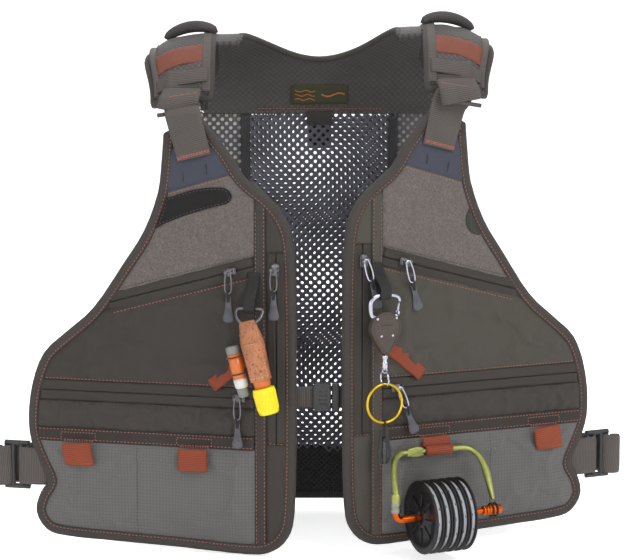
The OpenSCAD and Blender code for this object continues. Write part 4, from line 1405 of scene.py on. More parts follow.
class Pad:
    """A shoulder pad: t across (-1 at the neck side, 1 outside), a degrees over the top."""

    def __init__(self, side):
        self.side = side
        self.name = "left" if side < 0 else "right"
        self.x = (PAD_HIGH[0] - MID_X - PAD_W / 2)
        lift = PAD_HIGH[2] - 84.0 - AXIS_Z
        self.z = AXIS_Z + (lift if side > 0 else -7.0)

    def at(self, t, a, h):
        """World point h mm above the middle of the pad's thickness."""
        t, a, h = np.asarray(t, float), np.radians(np.asarray(a, float)), np.asarray(h, float)
        r = 80 - 6.0 * t - 2.5 * t * t - 8.0 * np.clip(t, 0, None) ** 3 + h
        taper = 8.0 * ease((np.degrees(a) - 105) / 50) * (t + 1) / 2
        x = MID_X + self.side * (self.x + t * PAD_W / 2 - taper)
        return np.stack([x + 0 * r, AXIS_Y + r * np.cos(a), self.z + r * np.sin(a)], -1) * MM

    def patch(self, name, material, slot, a0, a1, h0, h1, t0=-1.0, t1=1.0, crown=0.0, rows=60, cols=26,
              wrinkle=0.0, *nodes):
        """A closed sheet; a0 and a1 may be functions of t."""
        lo = a0 if callable(a0) else (lambda t: a0 + 0 * t)
        hi = a1 if callable(a1) else (lambda t: a1 + 0 * t)
        t = np.linspace(t0, t1, cols)
        k = np.linspace(0, 1, rows)
        a = lo(t)[None, :] + (hi(t) - lo(t))[None, :] * k[:, None]
        tt = np.repeat(t[None, :], rows, 0)
        edge = np.minimum(np.minimum(tt - t0, t1 - tt) * 30, np.minimum(k, 1 - k)[:, None] * (rows * 2.0))
        swell = np.sqrt(np.clip(edge / 9, 0, 1))
        ripple = np.array([[wrinkle * noise.noise(Vector((p * 2.2, q / 11, self.side * 3.0)))
                            for p, q in zip(r, s)] for r, s in zip(tt, a)])
        top = self.at(tt, a, h1 + crown * swell + ripple * swell).reshape(-1, 3)
        low = self.at(tt, a, np.full_like(tt, h0) - (crown * 0.5) * swell * (h0 < 0)).reshape(-1, 3)
        n = rows * cols
        faces = grid_faces(rows, cols)
        faces += [tuple(i + n for i in f[::-1]) for f in faces]
        for loop in (range(0, cols), range(n - cols, n), range(0, n, cols), range(cols - 1, n, cols)):
            q = list(loop)
            faces += [(x, y, y + n, x + n) for x, y in zip(q, q[1:])]
        flat = np.stack([tt.ravel() * PAD_W / 2, np.radians(a.ravel()) * 84], 1)
        ob = piece(f"{name}_{self.name}", np.concatenate([top, low]), faces, material,
                   np.concatenate([flat, flat]))
        return finish_piece(ob, "root", slot, *nodes)


def build_pad(side):
    pad = Pad(side)
    n = pad.name
    pad.patch("pad", "yoke", "nylon", 36, 157, -3.0, 2.6, -0.95, 0.95, 1.9, 90, 30, 1.1, "shoulder_pads")
    ring = np.concatenate([
        np.stack([np.full(60, -1.0), np.linspace(35, 158, 60)], 1),
        np.stack([np.linspace(-0.95, 0.95, 20), np.full(20, 158.5)], 1),
        np.stack([np.full(60, 1.0), np.linspace(158, 35, 60)], 1),
        np.stack([np.linspace(0.95, -0.95, 20), np.full(20, 34.5)], 1)])
    path = resample(pad.at(ring[:, 0], ring[:, 1], 0.6), 3 * MM, closed=True)
    v, f, c = tube(path, 4.6, 16, closed=True, squash=0.85)
    finish_piece(piece(f"pad_binding_{n}", v, f, "binding", c), "root", "binding")
    for t in (-0.86, 0.84):
        a = np.linspace(38, 155, 90)
        path = pad.at(np.full(90, t), a, 4.6)
        radial = unit(pad.at(np.full(90, t), a, 5.6) - path)
        tangent = unit(np.gradient(path, axis=0))
        v, f, c = ribbon(path, np.cross(radial, tangent), 8.5, 1.6)
        finish_piece(piece(f"pad_tape_{n}_{'in' if t < 0 else 'out'}", v, f, "web", c), "root", "webbing")
    pad.patch("pad_flash", "rust_pad", "rust_webbing", lambda t: 116 + 3.0 * (t + 1) * 0.5,
              lambda t: 134 + 4.5 * np.clip(t, 0, 1) - 1.0 * np.clip(-t, 0, 1), 3.8, 5.0, -0.8, 0.8,
              0.4, 24, 20)
    pad.patch("pad_keeper", "web", "webbing", lambda t: 141.5 + 2 * t, lambda t: 150.5 + 2 * t,
              5.0, 7.4, -0.92, 0.92, 0.6, 14, 24)
    stitch = Batch()
    for t in (-0.74, 0.74):
        for k in np.arange(42, 112, 2.7):
            p = pad.at(np.full(4, t), np.linspace(k, k + 1.7, 4), 5.0 if abs(t) > 0.7 else 5.2)
            v, f, c = tube(p, [0.25, 0.42, 0.42, 0.25], 6)
            stitch.add(v, f, c)
    finish_piece(stitch.piece(f"pad_stitches_{n}", "dark_thread"), "root", "webbing")
    t = np.linspace(-1.05, 0.45, 26)
    rise = 7.0 + 5.0 * np.sin(np.linspace(0, math.pi, 26)) ** 0.6
    rise[0], rise[-1] = 4.0, 5.5
    path = pad.at(t, 88 - 6 * t, rise)
    v, f, c = tube(path, 1.2 + 5.0 * np.sin(np.linspace(0.25, math.pi - 0.25, 26)) ** 0.3, 18, squash=0.9)
    finish_piece(piece(f"shoulder_loop_{n}", v, f, "web_navy", c), "root", "webbing")
    return pad


def build_shoulder_web(side, pad):
    panel, n = PANELS[side], pad.name
    lean = math.radians(15)
    foot = panel.world([93.5, 8.4, 370])
    head = panel.world([95 + 34 * math.sin(lean), 8.6, 376 + 34 * math.cos(lean)])
    pivot = np.array([MID_X + side * 126, AXIS_Y - 81, AXIS_Z + 22 + (9 if side > 0 else 0)]) * MM
    start = pad.at(-0.1, 140, 5.4)
    under = pad.at(-0.1, 152, 5.2)
    points = np.array([start, under, pivot + [0, 0.002, -0.002], head, foot])
    path = smooth_path(points, 2 * MM)
    w = np.linspace(0, 1, len(path))[:, None]
    across = (1 - ease(w)) * np.array([1.0, 0, 0]) + ease(w) * unit(
        side * panel.turn_vector([math.cos(lean), 0, -math.sin(lean)]))
    v, f, c = ribbon(path, across, 33, 1.9, 15, 0.25, side * 3)
    ob = piece(f"shoulder_web_{n}", v, f, "web", c)
    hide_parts(f"{n}_shoulder_webbing")
    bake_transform(ob)
    # ladder buckle
    bars = Batch()
    x = np.array([1.0, 0, 0])
    for dz, r in ((-4.2, 1.7), (0.0, 1.5), (4.2, 1.7)):
        p = [pivot + x * k * MM + np.array([0, 0.002, dz * MM]) for k in np.linspace(-19.5, 19.5, 9)]
        bars.add(*tube(p, r, 12))
    for k in (-19, 19):
        p = [pivot + x * k * MM + np.array([0, 0.002, dz * MM]) for dz in np.linspace(-4.6, 4.6, 5)]
        bars.add(*tube(p, 2.1, 12))
    finish_piece(bars.piece(f"shoulder_buckle_{n}", "buckle"), "root", "buckle_plastic", "shoulder_buckles")
    # folded tail
    tip = side * 5
    p0, p1 = pivot + np.array([0, -0.001, 0.010]), pivot + np.array([tip * MM, -0.013, -0.010])
    mid = (p0 + p1) / 2 + np.array([0, -0.0035, 0.002])
    path = smooth_path([p0, mid, p1], 1.5 * MM)
    slant = unit(np.array([1.0, 0, -0.16 * side]))
    v, f, c = ribbon(path, slant, 37, 3.6, 15, 0.3, side)
    finish_piece(piece(f"shoulder_tail_{n}", v, f, "web", c), "root", "webbing")
    fold = p1 + np.array([0, 0.0012, -0.0004])
    v, f, c = tube([fold + slant * k * MM for k in np.linspace(-17.8, 17.8, 12)], 2.4, 12, squash=0.8)
    finish_piece(piece(f"shoulder_tail_fold_{n}", v, f, "web", c), "root", "webbing")
    thread_row = Batch()
    at = len(path) // 3
    base = path[at] + np.array([0, -0.0021, 0.0006])
    for k in np.arange(-16, 15, 2.9):
        p = [base + slant * (k + q) * MM for q in np.linspace(0, 2.5, 4)]
        thread_row.add(*tube(p, [0.25, 0.45, 0.45, 0.25], 6))
    finish_piece(thread_row.piece(f"shoulder_tail_stitches_{n}", "coral"), "root", "webbing")
    # bar stitch at the foot
    rows = Batch()
    for dz in (-1.0, 0.0, 1.0):
        for k in np.arange(-15.5, 14, 2.6):
            q = np.linspace(k, k + 2.4, 4)
            p = panel.world(np.stack([94.2 + q * math.cos(lean), np.full(4, 9.5),
                                      373 + dz - q * math.sin(lean)], 1))
            rows.add(*tube(p, [0.25, 0.5, 0.5, 0.25], 6))
    finish_piece(rows.piece(f"shoulder_bar_stitch_{n}", "coral"), f"{n}_front", "webbing")


def build_side(side):
    panel = PANELS[side]
    n = panel.name
    lowz, highz = (c[2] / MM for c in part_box("side_straps"))
    z = (lowz + highz) / 2 - panel.z0
    start = np.array([MID_X + side * 189, AXIS_Y - 2, z + panel.z0])
    a = panel.local(start * MM)
    lock = np.array(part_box("side_buckles")[1 if side > 0 else 0]) - [side * 0.013 * panel.cos, 0, 0]
    lock = panel.local(np.array([lock[0], (panel.y0 + 270 * panel.sin) * MM, 0]))[0]
    pts = [a, [lock - 8, -11, z], [lock + 8, -7, z], [lock + 14, -5.8, z]]
    path = panel.world(smooth_path(np.array(pts, float), 2.0))
    v, f, c = ribbon(path, (0, 0, 1), 38, 2.0, 15, 0.4, side)
    finish_piece(piece(f"side_web_{n}", v, f, "web", c), "root", "webbing", "side_straps")
    # ladder-lock frame round the webbing
    parts = Batch()
    for u, r in ((-11, 2.3), (-3.8, 1.8), (3.8, 1.8), (11, 2.3)):
        p = panel.world(np.array([[lock + u, 0 if abs(u) > 5 else 1.6, z + k]
                                  for k in np.linspace(-20.5, 20.5, 9)]))
        parts.add(*tube(p, r, 12))
    for k in (-21, 21):
        p = panel.world(np.array([[lock + u, 0.3, z + k] for u in np.linspace(-12.2, 12.2, 7)]))
        parts.add(*tube(p, 2.7, 14, squash=0.9))
    finish_piece(parts.piece(f"side_lock_{n}", "buckle"), "root", "buckle_plastic", "side_buckles")
    # webbing loop from the panel's edge to the lock, and the folded tail in front
    loop = [[240, 1.0, z], [250, 4.6, z], [lock - 10, 5.2, z], [lock - 2.5, 2.4, z], [lock - 8, -3.2, z],
            [250, -3.0, z], [241, 0.0, z]]
    v, f, c = ribbon(panel.world(smooth_path(np.array(loop, float), 1.5)), (0, 0, 1), 36, 1.7, 13)
    ob = piece(f"side_anchor_{n}", v, f, "web", c)
    tuple(panel.world([250, 0, z]))
    tuple(panel.world([266, 0, z]))
    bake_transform(ob)
    tail = [[lock + 3.8, -2.0, z], [lock + 8, 4.2, z - 0.5], [lock + 15, 6.2, z - 1],
            [lock + 22, 4.5, z - 1.5],
            [lock + 24.5, 1.5, z - 1.5], [lock + 21, -1.0, z - 1.5], [lock + 14, -0.4, z - 1]]
    v, f, c = ribbon(panel.world(smooth_path(np.array(tail, float), 1.5)), (0, 0, 1), 38, 1.7, 13, 0.3,
                     side + 5)
    finish_piece(piece(f"side_tail_{n}", v, f, "web", c), "root", "webbing")


def build_net_ring():
    low, high = (np.array(c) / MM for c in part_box("net_ring"))
    centre = np.array([MID_X, high[1] - 14, (low[2] + high[2]) / 2]) * MM
    a = np.linspace(0, 2 * math.pi, 64, endpoint=False)
    path = centre + np.stack([0 * a, np.cos(a), np.sin(a)], 1) * 11 * MM
    v, f, c = tube(path, 2.8, 16, closed=True, up=(1, 0, 0), squash=0.9)
    finish_piece(piece("net_ring_loop", v, f, "gun", c), "root", "buckle_plastic", "net_ring")
    parts = Batch()
    lo, hi = np.array([MID_X - 6, low[1], low[2] + 1]), np.array([MID_X + 6, low[1] + 5.6, high[2] - 1])
    parts.add(*block(lo, hi, lambda p: p * MM))
    parts.add(*block([MID_X - 3.5, low[1] + 3, low[2] + 6], [MID_X + 3.5, high[1] - 25.5, high[2] - 6],
                     lambda p: p * MM))
    finish_piece(parts.piece("net_ring_anchor", "buckle", smooth=False), "root", "buckle_plastic", bevel=1.2)
    z = (low[2] + high[2]) / 2
    w = np.array([[MID_X, BACK_Y + 0.9, z + k] for k in (-22, -12, 0, 12, 13)]) * MM
    v, f, c = ribbon(w, (1, 0, 0), 24, 1.6)
    finish_piece(piece("net_ring_tape", v, f, "web_black", c), "root", "webbing")


M["net_seam"] = net_yarn("net_seam", rgb(44, 42, 44))
M["lumbar_cloth"] = woven("lumbar_cloth", rgb(22, 21, 21))
M["web_navy"] = ribbed("web_navy", rgb(66, 61, 61), rib=1.7)
build_back()
build_yoke()
for side in (-1, 1):
    pad = build_pad(side)
    build_shoulder_web(side, pad)
    build_side(side)
build_net_ring()

# ---------------------------------------------------------------- hardware


def outline_slab(outline, f0, f1, place, dome=0.0, rings=5):
    """A plate with a rounded rim: outline (a, b) in mm, from depth f0 to f1."""
    outline = resample(np.asarray(outline, float), 1.2, closed=True)
    centre = outline.mean(0)
    steps = []
    edge = min(1.4, (f1 - f0) * 0.45)
    for k in np.linspace(0, math.pi / 2, rings):
        steps.append((edge * (1 - math.sin(k)), f0 + edge * (1 - math.cos(k))))
    steps = [(edge * (1 - math.sin(k)), f0 + edge * (1 - math.cos(k))) for k in np.linspace(0, math.pi / 2,
                                                                                            rings)]
    steps += [(edge * (1 - math.cos(k)), f1 - edge * (1 - math.sin(k))) for k in np.linspace(0, math.pi / 2,
                                                                                             rings)]
    for k in (0.35, 0.65, 0.9):
        steps.append((("in", k), f1 + dome * (1 - (1 - k) ** 2)))
    verts = []
    for inset_by, f in steps:
        loop = (offset_loop(outline, inset_by) if not isinstance(inset_by, tuple)
                else centre + (offset_loop(outline, edge) - centre) * (1 - inset_by[1]))
        verts.append(np.stack([loop[:, 0], np.full(len(loop), f), loop[:, 1]], 1))
    n = len(outline)
    faces = grid_faces(len(steps), n, wrap=True)
    faces += [tuple(range(n)), tuple(range((len(steps) - 1) * n, len(steps) * n))]
    flat = np.concatenate(verts)
    return place(flat), faces, flat[:, [0, 2]]


def joint_lean(panel, name):
    axis = np.array(JOINTS[name]["axis"])
    local = panel.local(axis * MM) - panel.local(np.zeros(3))
    return math.atan2(abs(local[2]), abs(local[0]))


def build_zip_pull(side, which, angle):
    panel = PANELS[side]
    n = panel.name
    u, f, z = panel.joint(f"{n}_{which}_pull_swing")
    lean = joint_lean(panel, f"{n}_{which}_pull_swing")
    ca, sa = math.cos(angle), math.sin(angle)

    def on_zip(p):
        p = np.asarray(p, float)
        return panel.world(np.stack([u + p[..., 0] * ca - p[..., 2] * sa, p[..., 1],
                                     z + p[..., 0] * sa + p[..., 2] * ca], -1))

    body = Batch()
    shape = [(-6, -2.6), (-4.6, -3.6), (-1, -3.9), (3, -4.2), (5.6, -3.0), (6.2, 0), (5.6, 3.0), (3, 4.2),
             (-1, 3.9), (-4.6, 3.6), (-6, 2.6)]
    body.add(*outline_slab(shape, 7.5, 9.2, on_zip))
    body.add(*outline_slab([(a * 0.92, b * 0.86) for a, b in shape], 9.0, 11.2, on_zip, 0.6))
    cl, sl = math.cos(lean), math.sin(lean)

    def hung(p):
        """Points hung from the pin: x along the pin, y forward of it, z up."""
        p = np.asarray(p, float)
        return panel.world(np.stack([u + p[..., 0] * cl - p[..., 2] * sl, f + p[..., 1],
                                     z + p[..., 0] * sl + p[..., 2] * cl], -1))

    for k in (-3.2, 3.2):
        body.add(*tube(hung(smooth_path([(k, -3.4, 2.2), (k, -1.2, 1.7), (k, 0.9, 0), (k, -1.2, -1.7),
                                         (k, -3.4, -2.2)], 0.6)), 0.85, 10))
    body.add(*tube(hung([(-4.2, 0, 0), (-3, 0, 0), (3, 0, 0), (4.2, 0, 0)]), 0.95, 12))
    finish_piece(body.piece(f"{n}_{which}_slider_body", "gun"), f"{n}_{which}_slider", "gunmetal",
                 f"{n}_{which}_slider")
    q = f"{n}_{which}_pull"
    link = smooth_path([(0, 0.2, 1.9), (2.0, 0.3, 1.2), (2.5, 0.4, -2), (3.1, 0.5, -8), (3.0, 0.5, -14),
                        (2.2, 0.5, -17.6), (0, 0.5, -18.8), (-2.2, 0.5, -17.6), (-3.0, 0.5, -14),
                        (-3.1, 0.5, -8), (-2.5, 0.4, -2), (-2.0, 0.3, 1.2), (0, 0.2, 1.9)], 0.9)[:-1]
    v, fa, c = tube(hung(link), 0.85, 12, closed=True, up=(0, -1, 0))
    finish_piece(piece(f"{q}_link", v, fa, "chrome" if side > 0 else "gun", c), q, "gunmetal", q)
    cord = Batch()
    for k in (-1, 1):
        cord.add(*tube(hung(smooth_path([(k * 0.4, 1.4 * k, -16.6), (k * 1.0, 0.6 + 0.9 * k, -19),
                                         (k * 0.9, 0.4, -23), (k * 0.6, 0, -27)], 0.8)), 0.95, 10))
    cord.add(*tube(hung([(0, 1.8, -16.8), (0, 0.6, -16.1), (0, -0.6, -16.4)]), 0.95, 10))
    finish_piece(cord.piece(f"{q}_cord", "cord"), q, "pull_rubber", q)
    h = np.array([-21, -22, -25, -30, -36, -41, -44, -45.6, -46.2])
    r = np.array([1.4, 2.3, 2.5, 2.7, 3.7, 5.1, 4.9, 3.4, 0.6])
    hs = np.linspace(-21, -46.2, 40)
    path = hung(np.stack([0 * hs, 0 * hs - 0.1, hs], 1))
    v, fa, c = tube(path, np.interp(hs, h[::-1], r[::-1]), 22, squash=0.34 if side else 1,
                    up=tuple(unit(panel.turn_vector([0, 1, 0]))))
    grip = Batch()
    grip.add(v, fa, c)
    for k in (-33, -35, -37, -39):
        grip.add(*tube(hung([(-2.6, 1.15, k), (-1, 1.4, k), (1, 1.4, k), (2.6, 1.15, k)]), 0.35, 8))
    finish_piece(grip.piece(f"{q}_grip", "rubber"), q, "pull_rubber", q)


def build_tabs(side):
    panel = PANELS[side]
    n, surface = panel.name, FRONTS[side]["surface"]
    node = f"{n}_tool_tabs"
    tabs = [(210, 3.0 * side, False), (96 if side < 0 else 91, 0.0, side > 0)]
    thread_rows = Batch()
    for k, (u, skew, held) in enumerate(tabs):
        base = max(surface.height(u, 96), 11.6)
        if held:
            bar = panel.joint("tippet_bow_swing")
            a = np.radians(np.array([120, 95, 60, 20, -20, -60, -95, -130]))
            loop = [[u, base + 0.9, 99.5], [u, base + 1.6, 97]]
            loop += [[u, bar[1] + 4.3 * math.cos(t), bar[2] + 4.3 * math.sin(t)] for t in a]
            loop += [[u, base + 0.4, 84.5], [u, base + 0.2, 96]]
        else:
            loop = [[u, base + 2.2, 99], [u + skew * 0.3, base + 2.6, 90], [u + skew, base + 2.4, 80],
                    [u + skew, base + 1.4, 78.3], [u + skew, base + 0.6, 80], [u, base + 0.5, 97]]
        path = panel.world(smooth_path(np.array(loop, float), 1.2))
        v, f, c = ribbon(path, unit(panel.turn_vector([1, 0, 0.0])), 28, 1.7, 17, 0.35, k + side)
        finish_piece(piece(f"{n}_tab_{k + 1}", v, f, "rust", c), panel.body, "rust_webbing", node)
        for dz in (0, 1.1):
            stitches(thread_rows, surface, [(u - 15, 99.6 + dz), (u + 15, 99.6 + dz)], 2.4, 2.0, 0.45)
        box = [(u - 17, 100), (u - 17, 108), (u + 17, 108), (u + 17, 100)]
        stitches(thread_rows, surface, box, 3.0, 2.0, 0.4)
    finish_piece(thread_rows.piece(f"{n}_tab_stitches", "coral"), panel.body, "rust_webbing")
    # slanting strap from the waist zip up under the hanging tools
    pts = [(79 - 41 * t, 158.5 + 33 * t) for t in np.linspace(0, 1, 14)]
    path = np.array([[a, surface.height(a, b) + (1.0 if 0 < i < 13 else 0.6), b] for i,
                     (a, b) in enumerate(pts)])
    across = unit(panel.turn_vector([0.63, 0, 0.78]))
    v, f, c = ribbon(panel.world(path), across, 13, 1.5, 11, 0.25, side * 7)
    finish_piece(piece(f"{n}_slant_strap", v, f, "rust", c), panel.body, "rust_webbing")
    # hanging loop of black webbing
    joint = "holder_ring_swing" if side < 0 else "retractor_swing"
    u, fb, zb = panel.joint(joint)
    start = surface.height(u, 262) + 0.8
    r = 3.0
    loop = [[u - 1, start, 266], [u - 0.6, start + 3.2, 258], [u, fb + 1.2, zb + 9], [u, fb + r, zb + 1],
            [u, fb + 1.6, zb - 2.7], [u, fb - 1.4, zb - 2.8], [u, fb - r, zb + 0.5],
            [u + 0.5, start + 2.4, zb + 9], [u + 1, start - 0.2, 260], [u + 1, start - 0.2, 265]]
    path = panel.world(smooth_path(np.array(loop, float), 1.0))
    v, f, c = ribbon(path, unit(panel.turn_vector([1, 0, 0])), 11, 1.3, 11, 0.2, side)
    finish_piece(piece(f"{n}_hanging_loop", v, f, "web_black", c), panel.body, "rust_webbing", node)


def build_retractor():
    p = PANELS[1]
    u, f, z = p.joint("retractor_swing")
    gate = p.joint("carabiner_gate_open")
    w = lambda pts, step=1.0: p.world(smooth_path(np.array(pts, float), step))
    wire = w([[gate[0] + 1.6, f, gate[2] + 9.4], [gate[0] + 1.7, f, gate[2] + 11.4], [u + 12.4, f, z - 1.6],
              [u + 6, f, z + 0.2], [u - 4, f, z + 0.3], [u - 9.5, f, z - 0.9], [u - 13.9, f, z - 5],
              [u - 14.4, f, z - 11], [u - 12.8, f, z - 18], [u - 8, f, z - 19.2], [u + 8, f, z - 19.2],
              [gate[0], f, z - 18.4]])
    rad = 1.5 + 0.7 * np.sin(np.linspace(0, math.pi, len(wire)))
    v, fa, c = tube(wire, rad, 16, up=(0, -1, 0), squash=0.8)
    parts = Batch()
    parts.add(v, fa, c)
    for s in (-1, 1):
        parts.add(*tube(p.world([[gate[0], gate[1] + s * 1.7, gate[2] - 3],
                                 [gate[0], gate[1] + s * 2.0, gate[2]],
                                 [gate[0], gate[1] + s * 1.9, gate[2] + 1.2]]), [1.2, 1.3, 0.8], 10))
    parts.add(*tube(p.world([[gate[0], gate[1] - 2.6, gate[2]], [gate[0], gate[1] + 2.6, gate[2]]]), 0.7, 10))
    finish_piece(parts.piece("carabiner_wire", "chrome"), "retractor", "clip_steel", "retractor_carabiner")
    g = Batch()
    for s in (-1, 1):
        g.add(*tube(w([[gate[0], gate[1] + s * 0.8, gate[2]], [gate[0] + 0.7, gate[1] + s * 0.9, gate[2] + 4],
                       [gate[0] + 1.3, gate[1] + s * 0.5, gate[2] + 7.8]], 0.8), 0.55, 10))
    g.add(*tube(w([[gate[0] + 1.3, gate[1] - 0.6, gate[2] + 7.8], [gate[0] + 1.4, gate[1], gate[2] + 8.6],
                   [gate[0] + 1.3, gate[1] + 0.6, gate[2] + 7.8]], 0.4), 0.55, 10))
    finish_piece(g.piece("carabiner_wire_gate", "chrome"), "carabiner_gate", "clip_steel", "carabiner_gate")

    case = p.loops("retractor_case")[0]
    low, high = case.min(0), case.max(0)
    v, fa, c = outline_slab(case, 19.2, 28.4, p.world, 1.2)
    finish_piece(piece("retractor_shell", v, fa, "case", c), "retractor", "retractor_shell", "retractor_case")
    inner = offset_loop(resample(case, 1.2, closed=True), 1.7)
    rim_path = p.world(np.stack([inner[:, 0], np.full(len(inner), 28.6), inner[:, 1]], 1))
    v, fa, c = tube(rim_path, 0.45, 8, closed=True)
    finish_piece(piece("retractor_rim", v, fa, "case", c), "retractor", "retractor_shell")
    mid = (low[0] + high[0]) / 2
    studs, holes = Batch(), Batch()
    fwd = unit(p.turn_vector([0, 1, 0]))
    for du, dz in ((-9.6, -6), (9.6, -6), (-9.2, -22), (9.2, -22)):
        k = 0.62 if dz < -20 else 1.0
        studs.add(*lathe([(-0.4, 1.3), (0.4, 1.3), (0.85, 0.9), (1.0, 0.1)],
                         p.world([mid + du * k, 28.6, high[1] + dz]), fwd, steps=16))
    for row in range(3):
        for k in range(-3 + row, 4 - row):
            holes.add(*lathe([(-0.4, 0.5), (0.25, 0.5), (0.3, 0.35)],
                             p.world([mid + k * 1.9, 29.2, high[1] - 22.5 - row * 2.1]), fwd, steps=10))
    for k in range(-2, 3):
        path = [[mid + k * 2.4 - 1.1, 29.7, high[1] - 12.6], [mid + k * 2.4, 29.75, high[1] - 11.6],
                [mid + k * 2.4 + 1.1, 29.7, high[1] - 12.6]]
        holes.add(*tube(w(path, 0.5), 0.3, 6))
    finish_piece(studs.piece("retractor_studs", "chrome"), "retractor", "retractor_shell")
    finish_piece(holes.piece("retractor_holes", "dark_thread"), "retractor", "retractor_shell")

    low, high = (p.local(np.array(c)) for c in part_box("retractor_end"))
    top = max(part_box("retractor_end")[1][2] / MM - p.z0, 0)
    down = -unit(p.turn_vector([0, 0, 1]))
    v, fa = lathe([(0, 2.2), (0.6, 3.0), (3.4, 3.0), (4.0, 2.3), (6.0, 2.2), (6.6, 2.9), (11.5, 2.9),
                   (13.6, 2.0),
                   (14.4, 1.2)], p.world([u, f, top]), down, steps=28)
    end = Batch()
    end.add(v, fa)
    ring_z = top - 14.4 - 7.5
    a = np.linspace(0, 4 * math.pi, 120)
    spiral = np.stack([u + 0.7 * (a / (4 * math.pi) - 0.5) * 1.6, f + 8 * np.cos(a), ring_z + 8 * np.sin(a)],
                      1)
    end.add(*tube(p.world(spiral), 0.62, 10))
    end.add(*tube(w([[u - 2.2, f, top - 13.2], [u - 1.9, f, top - 15.6], [u, f, top - 17.0],
                     [u + 1.9, f, top - 15.6], [u + 2.2, f, top - 13.2]], 0.6), 0.7, 10))
    finish_piece(end.piece("retractor_swivel", "chrome"), "retractor_end", "clip_steel", "retractor_end")
    # cord between the case and its end; it starts deeper in the case, along the way it is drawn out,
    # so that it keeps its thickness when it is stretched
    mouth, foot = p.world([u, f - 3.5, top + 2.4]), p.world([u, f, top - 0.2])
    v, fa, c = tube(mouth + (foot - mouth) * np.linspace(0, 1, 32)[:, None], 0.7, 10, up=(1, 0, 0))
    line = piece("retractor_line", v, fa, "cord", c)
    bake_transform(line)

    ring_top = p.joint("tool_ring_swing")
    eye = p.joint("line_nipper_swing")
    r = (ring_top[2] - eye[2]) / 2
    a = np.linspace(0, 2 * math.pi, 96, endpoint=False)
    path = p.world(np.stack([u + r * 0.98 * np.sin(a), f + 0 * a, eye[2] + r + r * np.cos(a)], 1))
    v, fa, c = tube(path, 1.25, 14, closed=True, up=(0, -1, 0))
    finish_piece(piece("tool_ring_wire", v, fa, "gold", c), "tool_ring", "ring_yellow", "tool_ring")

    nip = Batch()
    top = eye[2]
    nip.add(*tube(w([[u, f - 2.2, top], [u, f, top + 2.4], [u, f + 2.2, top], [u, f, top - 2.6]], 0.5), 0.8,
                  10,
                  up=(1, 0, 0)))
    for s in (-1, 1):
        pts = [[u + s * 1.2, f + s * 0.6, top - 2.4], [u + s * 2.1, f + s * 1.1, top - 9],
               [u + s * 2.4, f + s * 1.9, top - 18], [u + s * 3.0, f + s * 2.4, top - 29],
               [u + s * 2.2, f + s * 1.0, top - 36], [u + s * 0.8, f + s * 0.3, top - 38.4]]
        path = w(pts, 1.2)
        rad = np.interp(np.linspace(0, 1, len(path)), [0, 0.2, 0.5, 0.8, 1], [1.0, 1.5, 2.2, 2.9, 0.8])
        nip.add(*tube(path, rad, 14, squash=0.62, up=tuple(fwd)))
    nip.add(*lathe([(-2.9, 1.6), (-2.4, 2.2), (2.4, 2.2), (2.9, 1.6)], p.world([u, f, top - 16]), fwd,
                   steps=20))
    finish_piece(nip.piece("line_nipper_jaws", "black_steel"), "line_nipper", "black_metal", "line_nipper")


